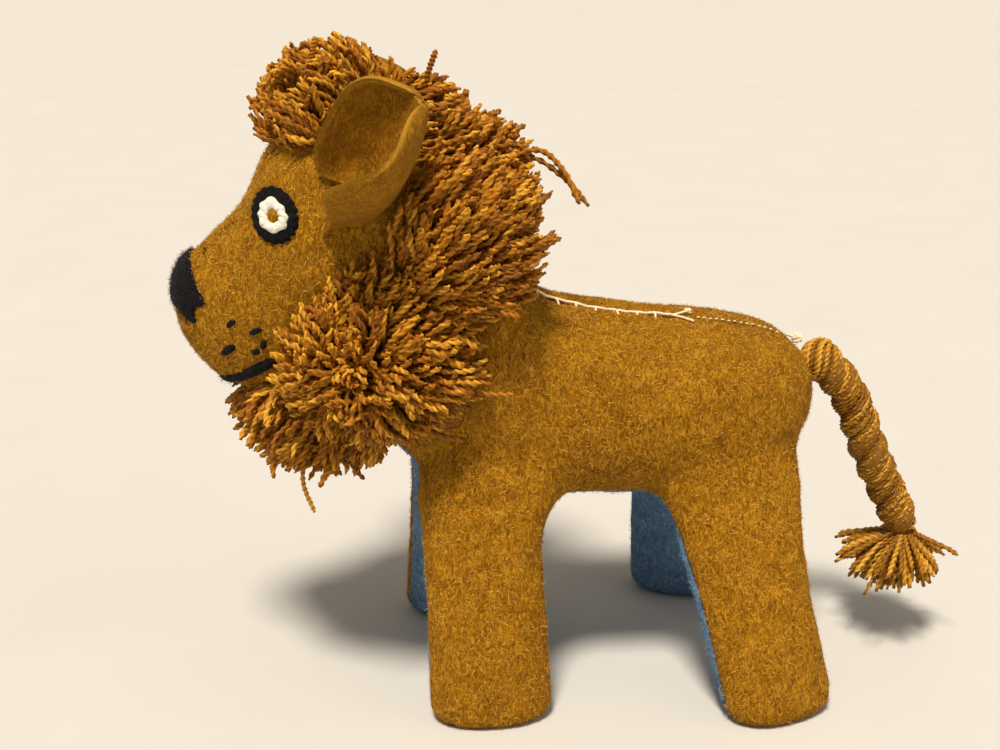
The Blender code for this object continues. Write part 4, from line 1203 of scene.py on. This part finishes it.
def mouth_distance(points):
    """Signed distance from the mouth's two strokes: from their lines, less their half widths."""
    nearest = np.full(points.shape[:-1], 99.0)
    for start, end, half in MOUTH_STROKES:
        start, along = np.array(start), np.array(end) - np.array(start)
        place = points[..., (0, 2)] - start
        share = np.clip(place @ along / (along @ along), 0.0, 1.0)
        away = np.linalg.norm(place - share[..., None] * along, axis=-1)
        nearest = np.minimum(nearest, away - half)
    return nearest + 0.15 * waves(points, (1.5, 1.1), 62)


def ridges(way):
    """The ridges of close parallel stitches: a sine wave along a direction."""
    def height(points):
        return 0.10 * np.sin(2.0 * math.pi * (points @ np.array(way)) / 0.8)
    return height


def eye_disc_height(share, angle):
    """A flat disc with a round edge and short stitches across it."""
    edge = np.sqrt(np.clip(1.0 - share ** 8, 0.0, 1.0))
    stitches = 0.16 * np.cos(19.0 * angle) * np.clip((share - 0.55) / 0.3, 0.0, 1.0)
    return -0.4 + (1.7 + stitches) * edge


def eye_ring_height(share, angle):
    """A round band outside the hole, pinched between the stitches of its chain."""
    hole = 0.8 * EYE_HOLE_HALF / EYE_RING_HALF[0]
    band = np.clip((share - hole) / (1.0 - hole), 0.0, 1.0)
    crown = np.sqrt(np.clip(1.0 - (2.0 * band - 1.0) ** 2, 0.0, 1.0))
    pinch = np.abs(np.cos(4.5 * angle + 2.6 * share + 0.6 * np.sin(2.0 * angle)))
    return 0.8 + 1.5 * crown * (0.78 + 0.22 * pinch)


def eye_middle_height(share, angle):
    """A dome of felt that shows through the hole of the ring."""
    return 0.9 + 0.9 * np.sqrt(np.clip(1.0 - share ** 2, 0.0, 1.0)) + np.zeros_like(angle)


def whisker_height(share, angle):
    """A low dome with faint ridges across it."""
    return -0.3 + 1.2 * np.sqrt(np.clip(1.0 - share ** 3, 0.0, 1.0)) \
        + 0.07 * np.cos(6.0 * angle) * share


def face():
    """Eyes, nose, mouth and whisker stitches."""
    points, faces = stitched_patch("nose_satin_stitch", "nose_patch", (-94.3, -83.5),
                                   (-1.45, math.pi + 1.45), nose_distance,
                                   ridges((0.5, 0.35, 0.0)), 1.1, 0.28)
    fibres("loose_fibres_nose", points, faces, 2000, 1.6, "nose_patch", BLACK_WOOL, 310, 0.6)
    points, faces = stitched_patch("mouth_satin_stitch", "mouth_stitch", (-88.0, -65.0),
                                   (math.pi * 0.92, math.pi * 2.08), mouth_distance,
                                   ridges((-0.45, 0.0, 0.9)), 0.9, 0.32)
    fibres("loose_fibres_mouth", points, faces, 600, 1.6, "mouth_stitch", BLACK_WOOL, 311, 0.6)
    for side, hand in SIDES:
        points, faces = side_patch(EYE_CENTRE, side, oval(*EYE_HALF, 0.022, 19),
                                   eye_disc_height, 18, 132)
        disc = piece(f"eye_felt_disc_{hand}", points, faces, BLACK_FELT)
        settle(disc, "body", f"eye_disc_{hand}", f"eye_disc_{hand}")
        points, faces = side_patch(EYE_CENTRE, side, oval(*EYE_RING_HALF, 0.055, 8),
                                   eye_ring_height, 22, 132)
        ring = piece(f"eye_chain_stitch_{hand}", points, faces, WHITE_THREAD)
        settle(ring, "body", f"eye_ring_{hand}", f"eye_ring_{hand}")
        points, faces = side_patch(EYE_CENTRE, side, oval(*EYE_MIDDLE_HALF),
                                   eye_middle_height, 8, 32)
        middle = piece(f"eye_middle_{hand}", points, faces, MUSTARD_FELT)
        settle(middle, "body", f"side_panel_{hand}")
        for number, (x, z, half_length, half_thick, drop) in enumerate(WHISKERS, 1):
            points, faces = side_patch((x, z), side, slanted_oval(half_length, half_thick, drop),
                                       whisker_height, 8, 36)
            thread = piece(f"whisker_thread_{hand}_{number}", points, faces, BLACK_THREAD)
            node = f"whisker_stitch_{hand}_{number}"
            settle(thread, "body", node, node)


# ---------------------------------------------------------------- threads and tail


def tube(path, radius, sides, bumps=None):
    """Points and faces of a round tube along a path, closed at both ends.

    bumps gives the radius at each ring and angle as a multiple of the plain one.
    """
    path = np.asarray(path, float)
    tangent = unit(np.gradient(path, axis=0))
    upright = abs(tangent[:, 1]).max() < 0.9
    first = unit(np.cross(tangent, (0.0, 1.0, 0.0) if upright else (0.0, 0.0, 1.0)))
    second = np.cross(tangent, first)
    angle = np.arange(sides) * 2.0 * math.pi / sides
    reach = radius * (np.ones((len(path), sides)) if bumps is None else bumps(angle))
    around = (np.cos(angle) * reach)[..., None] * first[:, None] \
        + (np.sin(angle) * reach)[..., None] * second[:, None]
    return closed_rings(path[:, None] + around)


def over_back(x, y, lift):
    """A thread's path over the back, at a height above the felt."""
    x, y = np.asarray(x, float), np.asarray(y, float)
    return np.stack([x, y, back_height(x, y) + lift], -1)


def thread_piece(name, parts, node):
    """Tubes of cream thread as one piece."""
    settle(piece(name, *joined(parts), CREAM_THREAD), "body", node, node)


def back_sewing():
    """The closing thread with its cross stitches, fork and knot, the finer run behind it and the
    knot at the rump."""
    x = np.linspace(CLOSING_FROM, CLOSING_TO, 60)
    wander = 0.5 * np.sin((x - CLOSING_FROM) / 6.5) + 0.25 * np.sin(x / 2.3)
    lift = 0.15 + 0.25 * np.abs(np.sin(math.pi * (x - CLOSING_FROM) / TOOTH_SPACING))
    parts = [tube(over_back(x, CLOSING_Y + wander, lift), THREAD_RADIUS, 8)]
    share = np.linspace(0.0, 1.0, 7)
    for number in range(int((CLOSING_TO - CLOSING_FROM) / TOOTH_SPACING)):
        at = CLOSING_FROM + (number + 0.5) * TOOTH_SPACING
        length = 2.6 + 0.9 * math.sin(number * 2.1)
        start = CLOSING_Y + 0.5 * math.sin((at - CLOSING_FROM) / 6.5) + 0.4
        lean = 0.5 * math.sin(number * 1.7)
        lift = 0.15 + 0.25 * np.sin(math.pi * share) - 0.7 * share ** 6
        stitch = over_back(at + lean * share, start - length * share, lift)
        parts.append(tube(stitch, THREAD_RADIUS * 0.85, 8))
    share = np.linspace(0.0, 1.0, 12)
    for way, length in FORK_LENGTHS:
        arm = over_back(CLOSING_TO + length * 0.95 * share, CLOSING_Y + way * 4.6 * share ** 1.3,
                        0.25 + 0.5 * share)
        parts.append(tube(arm, THREAD_RADIUS * 0.9, 8))
    turn = np.linspace(0.0, 4.0 * math.pi, 48)
    knot = over_back(CLOSING_TO + 6.3 + 0.7 * np.cos(turn),
                     CLOSING_Y + 4.7 + 0.7 * np.sin(turn * 1.5), 0.7 + 0.4 * np.sin(turn * 2.0))
    parts.append(tube(knot, THREAD_RADIUS, 8))
    thread_piece("closing_thread", parts, "back_closing_thread")

    parts = []
    share = np.linspace(0.0, 1.0, 5)
    for number in range(RUNNING_STITCHES):
        start = CLOSING_TO + 8.0 + number * RUNNING_SPACING
        across = BACK_SEAM_Y + 0.25 * math.sin(number * 2.3)
        stitch = over_back(start + 0.95 * share, across + 0.15 * share,
                           0.3 * np.sin(math.pi * share) - 0.1)
        parts.append(tube(stitch, 0.24, 6))
    thread_piece("running_thread", parts, "back_running_stitch")

    turn = np.linspace(0.0, 8.0 * math.pi, 120)
    loops = np.stack([1.2 * np.cos(turn) * np.cos(turn * 0.31), 1.2 * np.sin(turn),
                      0.9 * np.cos(turn * 0.77)], -1)
    parts = [tube(np.array(RUMP_KNOT) + loops, 0.5, 8)]
    for way in ((-3.4, 0.5, 1.2), (2.0, 1.6, -1.6)):
        parts.append(tube(np.array(RUMP_KNOT) + np.outer(np.linspace(0.0, 1.0, 10), way), 0.4, 8))
    thread_piece("rump_knot_thread", parts, "tail_sewing_knot")


def tail_piece(name, paths, radius, tone, root_shade_start, seed):
    """Strands of the tail's yarn as one piece."""
    points, faces, values = strands(paths, radius, tone, root_shade_start, seed)
    return piece(name, points, faces, TAIL_YARN, values)


def tail_core(name, points, faces, lengths, seed, along):
    """A solid under the tail's yarns, in their colours, with painted shade all over: its crown is 0,
    as between plies, and its along value darkens it towards the root colour.
    """
    values = {"strand_tone": 0.5 + 0.5 * waves(points, lengths, seed),
              "along": np.full(len(points), along), "crown": np.zeros(len(points))}
    return piece(name, points, faces, TAIL_YARN, values)


def end_slim(along, whole):
    """The rope's radius as a share of its plain one, which is less over its whipped end."""
    near_end = np.clip((along - whole + ROPE_END_LENGTH) / ROPE_END_LENGTH, 0.0, 1.0)
    return 1.0 - ROPE_END_SLIM * near_end


def tail_rope(path, along, rng):
    """The twisted rope and the yarns on it."""
    whole = along[-1]

    def twist(angle):
        """Two fat strands wound round each other, each with fine yarns along it: the greater of
        two lobes, with a ripple on it."""
        wound = 2.0 * math.pi * along[:, None] / ROPE_PITCH
        lobe = 0.72 + 0.34 * np.abs(np.cos(angle - wound)) ** 0.8
        yarns = 0.035 * np.abs(np.sin(9.0 * (angle - wound / 2.4)))
        uneven = 1.0 + 0.05 * np.sin(along[:, None] / 5.1 + 1.0)
        return (lobe + yarns) * end_slim(along, whole)[:, None] * uneven

    points, faces = tube(path, ROPE_RADIUS, 108, twist)
    rope = tail_core("yarn_tail_rope", points, faces, (2.1, 1.4, 1.0), 71, 0.7)
    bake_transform(rope)
    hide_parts("tail_rope_upper", "tail_rope_lower")

    at = np.linspace(0.0, whole - 2.0, 96)
    centre = np.stack([np.interp(at, along, path[:, axis]) for axis in range(3)], -1)
    tangent = unit(np.gradient(centre, axis=0))
    first = unit(np.cross(tangent, (0.0, 1.0, 0.0)))
    second = np.cross(tangent, first)
    yarns = []
    for number in range(ROPE_YARNS):
        phase = 2.0 * math.pi * number / ROPE_YARNS + 0.25 * np.sin(at / 7.0 + number)
        angle = phase + 2.0 * math.pi * at / ROPE_PITCH
        lobe = 0.74 + 0.30 * np.abs(np.cos(phase)) ** 0.8
        reach = (ROPE_RADIUS * lobe * end_slim(at, whole) - 0.1)[:, None]
        yarns.append(centre + reach * (np.cos(angle)[:, None] * first
                                       + np.sin(angle)[:, None] * second))
    yarn = tail_piece("yarn_tail_strands", np.array(yarns), 0.92, rng.random(ROPE_YARNS), 0.9, 78)
    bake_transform(yarn)
    return rope, yarn


def on_knot(turn, angle, reach):
    """Points of a ball whose poles lie on the rump and on the rope."""
    axis_a, axis_c = unit((0.75, 0.0, 0.66)), unit((-0.66, 0.0, 0.75))
    axis_b = np.array((0.0, 1.0, 0.0))
    return np.array(KNOT_CENTRE) + reach * (np.cos(turn)[..., None] * axis_a
                                            + (np.sin(turn) * np.cos(angle))[..., None] * axis_b
                                            + (np.sin(turn) * np.sin(angle))[..., None] * axis_c)


def tail_knot(rng):
    """The knot at the rump and the yarns wrapped round it."""
    turn, angle = np.meshgrid(np.linspace(0.0, math.pi, 40),
                              np.linspace(0.0, 2.0 * math.pi, 48, endpoint=False), indexing="ij")
    ball = on_knot(turn, angle, KNOT_RADIUS - 0.5).reshape(-1, 3)
    faces = grid_faces(*turn.shape, True)[:, ::-1]
    knot = tail_core("yarn_tail_knot", ball, faces, (2.1, 1.4), 72, 0.6)
    settle(knot, "tail_root", "tail_knot", "tail_knot")
    sweep = np.linspace(0.12, 0.88, 26) * math.pi
    wraps = []
    for number in range(KNOT_YARNS):
        angle = 2.0 * math.pi * number / KNOT_YARNS + 0.9 * sweep + 0.15 * math.sin(3.0 * number)
        wraps.append(on_knot(sweep, angle, KNOT_RADIUS - 0.1 + 0.3 * math.sin(2.0 * number)))
    wrapping = tail_piece("yarn_knot_strands", np.array(wraps), 0.95, rng.random(KNOT_YARNS),
                          0.9, 77)
    settle(wrapping, "tail_root", "tail_knot")
    return knot, wrapping


def tail_whipping(path):
    """A yarn wound round the rope's end."""
    way = unit(path[-1] - path[-8])
    side = np.array((0.0, 1.0, 0.0))
    turn = np.linspace(0.0, 2.0 * math.pi * WHIP_TURNS, 130)
    coil = path[-1] - way * WHIP_START \
        + np.outer(turn / (2.0 * math.pi) * WHIP_PITCH + 0.3 * np.sin(turn), way) \
        + WHIP_RADIUS * (np.outer(np.cos(turn), side) + np.outer(np.sin(turn), np.cross(way, side)))
    whip = tail_piece("yarn_whipping", coil[None], 1.0, np.array([0.5]), 0.9, 76)
    return settle(whip, "tail_lower", "tail_whipping", "tail_whipping")


def tail_tassel(end, rng):
    """Loose strands that fan out and fall from the rope's end, those in the middle the furthest."""
    count = TASSEL_STRANDS
    around = np.arange(count) * GOLDEN_ANGLE + rng.normal(scale=0.25, size=count)
    fan = np.sqrt((np.arange(count) + 0.5) / count)
    reach = TASSEL_REACH * fan * rng.uniform(0.75, 1.05, count)
    drop = TASSEL_DROP - TASSEL_EDGE_RISE * fan ** 2.5 + rng.uniform(-3.0, 1.2, count)
    t = np.linspace(0.0, 1.0, 24)[None, :]
    out = reach[:, None] * (0.14 + 0.86 * t) * np.minimum(1.0, 0.6 + 0.5 * t)
    down = drop[:, None] * (0.75 * t + 0.25 * t ** 2.5)
    wobble = rng.normal(scale=1.5, size=(count, 1, 2)) * (t ** 2)[..., None] \
        + rng.normal(scale=0.5, size=(count, 1, 2)) * np.sin(5.0 * t)[..., None]
    paths = np.stack([end[0] - 4.0 * t ** 1.2 + out * np.cos(around)[:, None] + wobble[..., 0],
                      out * np.sin(around)[:, None] + wobble[..., 1], end[2] - 1.0 - down], -1)
    paths[..., 2] = np.maximum(paths[..., 2], end[2] - TASSEL_DEEPEST)
    tassel = tail_piece("yarn_tassel", paths, 1.05, rng.random(count), 0.6, 81)
    return settle(tassel, "tassel", "tail_tassel", "tail_tassel")


def tail():
    """The knot, the twisted rope, its whipping and the tassel."""
    route = through(ROPE_ROUTE, ROPE_ROWS)
    path = np.stack([route[:, 0], np.zeros(len(route)), route[:, 1]], -1)
    steps = np.linalg.norm(np.diff(path, axis=0), axis=1)
    along = np.concatenate([[0.0], np.cumsum(steps)])
    rng = np.random.default_rng(79)
    rope, yarn = tail_rope(path, along, rng)
    knot, wrapping = tail_knot(rng)
    whip = tail_whipping(path)
    tassel = tail_tassel(path[-1], rng)


# ---------------------------------------------------------------- the whole toy

camera()
# Felts and yarns. The mustard felt runs from brown ochre in its hollows to gold on its curls: painted
# shade in the hollows and a painted highlight on the curls.
MUSTARD_FELT = wool_felt("mustard_wool_felt", "#6a4102", "#a36c04", "#dea21c", sheen="#e8a830")
# The ear's cut edges get a painted highlight in the paler colour given last.
EAR_FELT = wool_felt("mustard_pressed_felt", "#6c4606", "#96660a", "#c08a20", 0.9, 0.6,
                     rim_highlight="#cc9830")
BLUE_FELT = wool_felt("blue_wool_felt", "#44658a", "#6892bc", "#9abcd8", sheen="#a8c4dc")
BLACK_FELT = wool_felt("black_wool_felt", "#050507", "#0e0e10", "#1d1d20", 0.8, 0.3, "#303034")
# The last colour of each yarn is painted shade, mixed in towards the strands' roots.
MANE_YARN = wool_yarn("brown_gold_wool_yarn", "#824806", "#bd780a", "#f6b936", "#402002")
TAIL_YARN = wool_yarn("light_ochre_wool_yarn", "#84520a", "#b87e16", "#ecb544", "#5a3206")
MUSTARD_WOOL = loose_wool("loose_mustard_wool", "#8a5a08", "#e6b040")
BLUE_WOOL = loose_wool("loose_blue_wool", "#4a7199", "#9cbcd6")
BLACK_WOOL = loose_wool("loose_black_wool", "#060607", "#2a2a2e")
BLACK_THREAD = cotton_thread("black_embroidery_thread", "#040405", "#101012", gloss=0.1)
WHITE_THREAD = cotton_thread("white_embroidery_thread", "#cfc8b8", "#fbf7ee")
CREAM_THREAD = cotton_thread("cream_sewing_thread", "#d9c49a", "#f8ecd0")
FILLING = cotton_thread("polyester_filling", "#d8d4cc", "#f2efe8", 3.0, 0.1)

studio()
tail()
skin = body_skin()
mane(ears())
face()
back_sewing()
for number, (name, count) in enumerate(LOOSE_FIBRES):
    wool = BLUE_WOOL if name == "underbody_gusset" else MUSTARD_WOOL
    fibres(f"loose_fibres_{name}", *skin[name], count, FIBRE_LENGTH, name, wool, 300 + number,
           FIBRE_LIFT)
# The filling keeps the frame's own solids, and takes its material.
for name, cad_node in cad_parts.items():
    if name.startswith("stuffing_"):
        cad_node.data.materials.clear()
        cad_node.data.materials.append(FILLING)
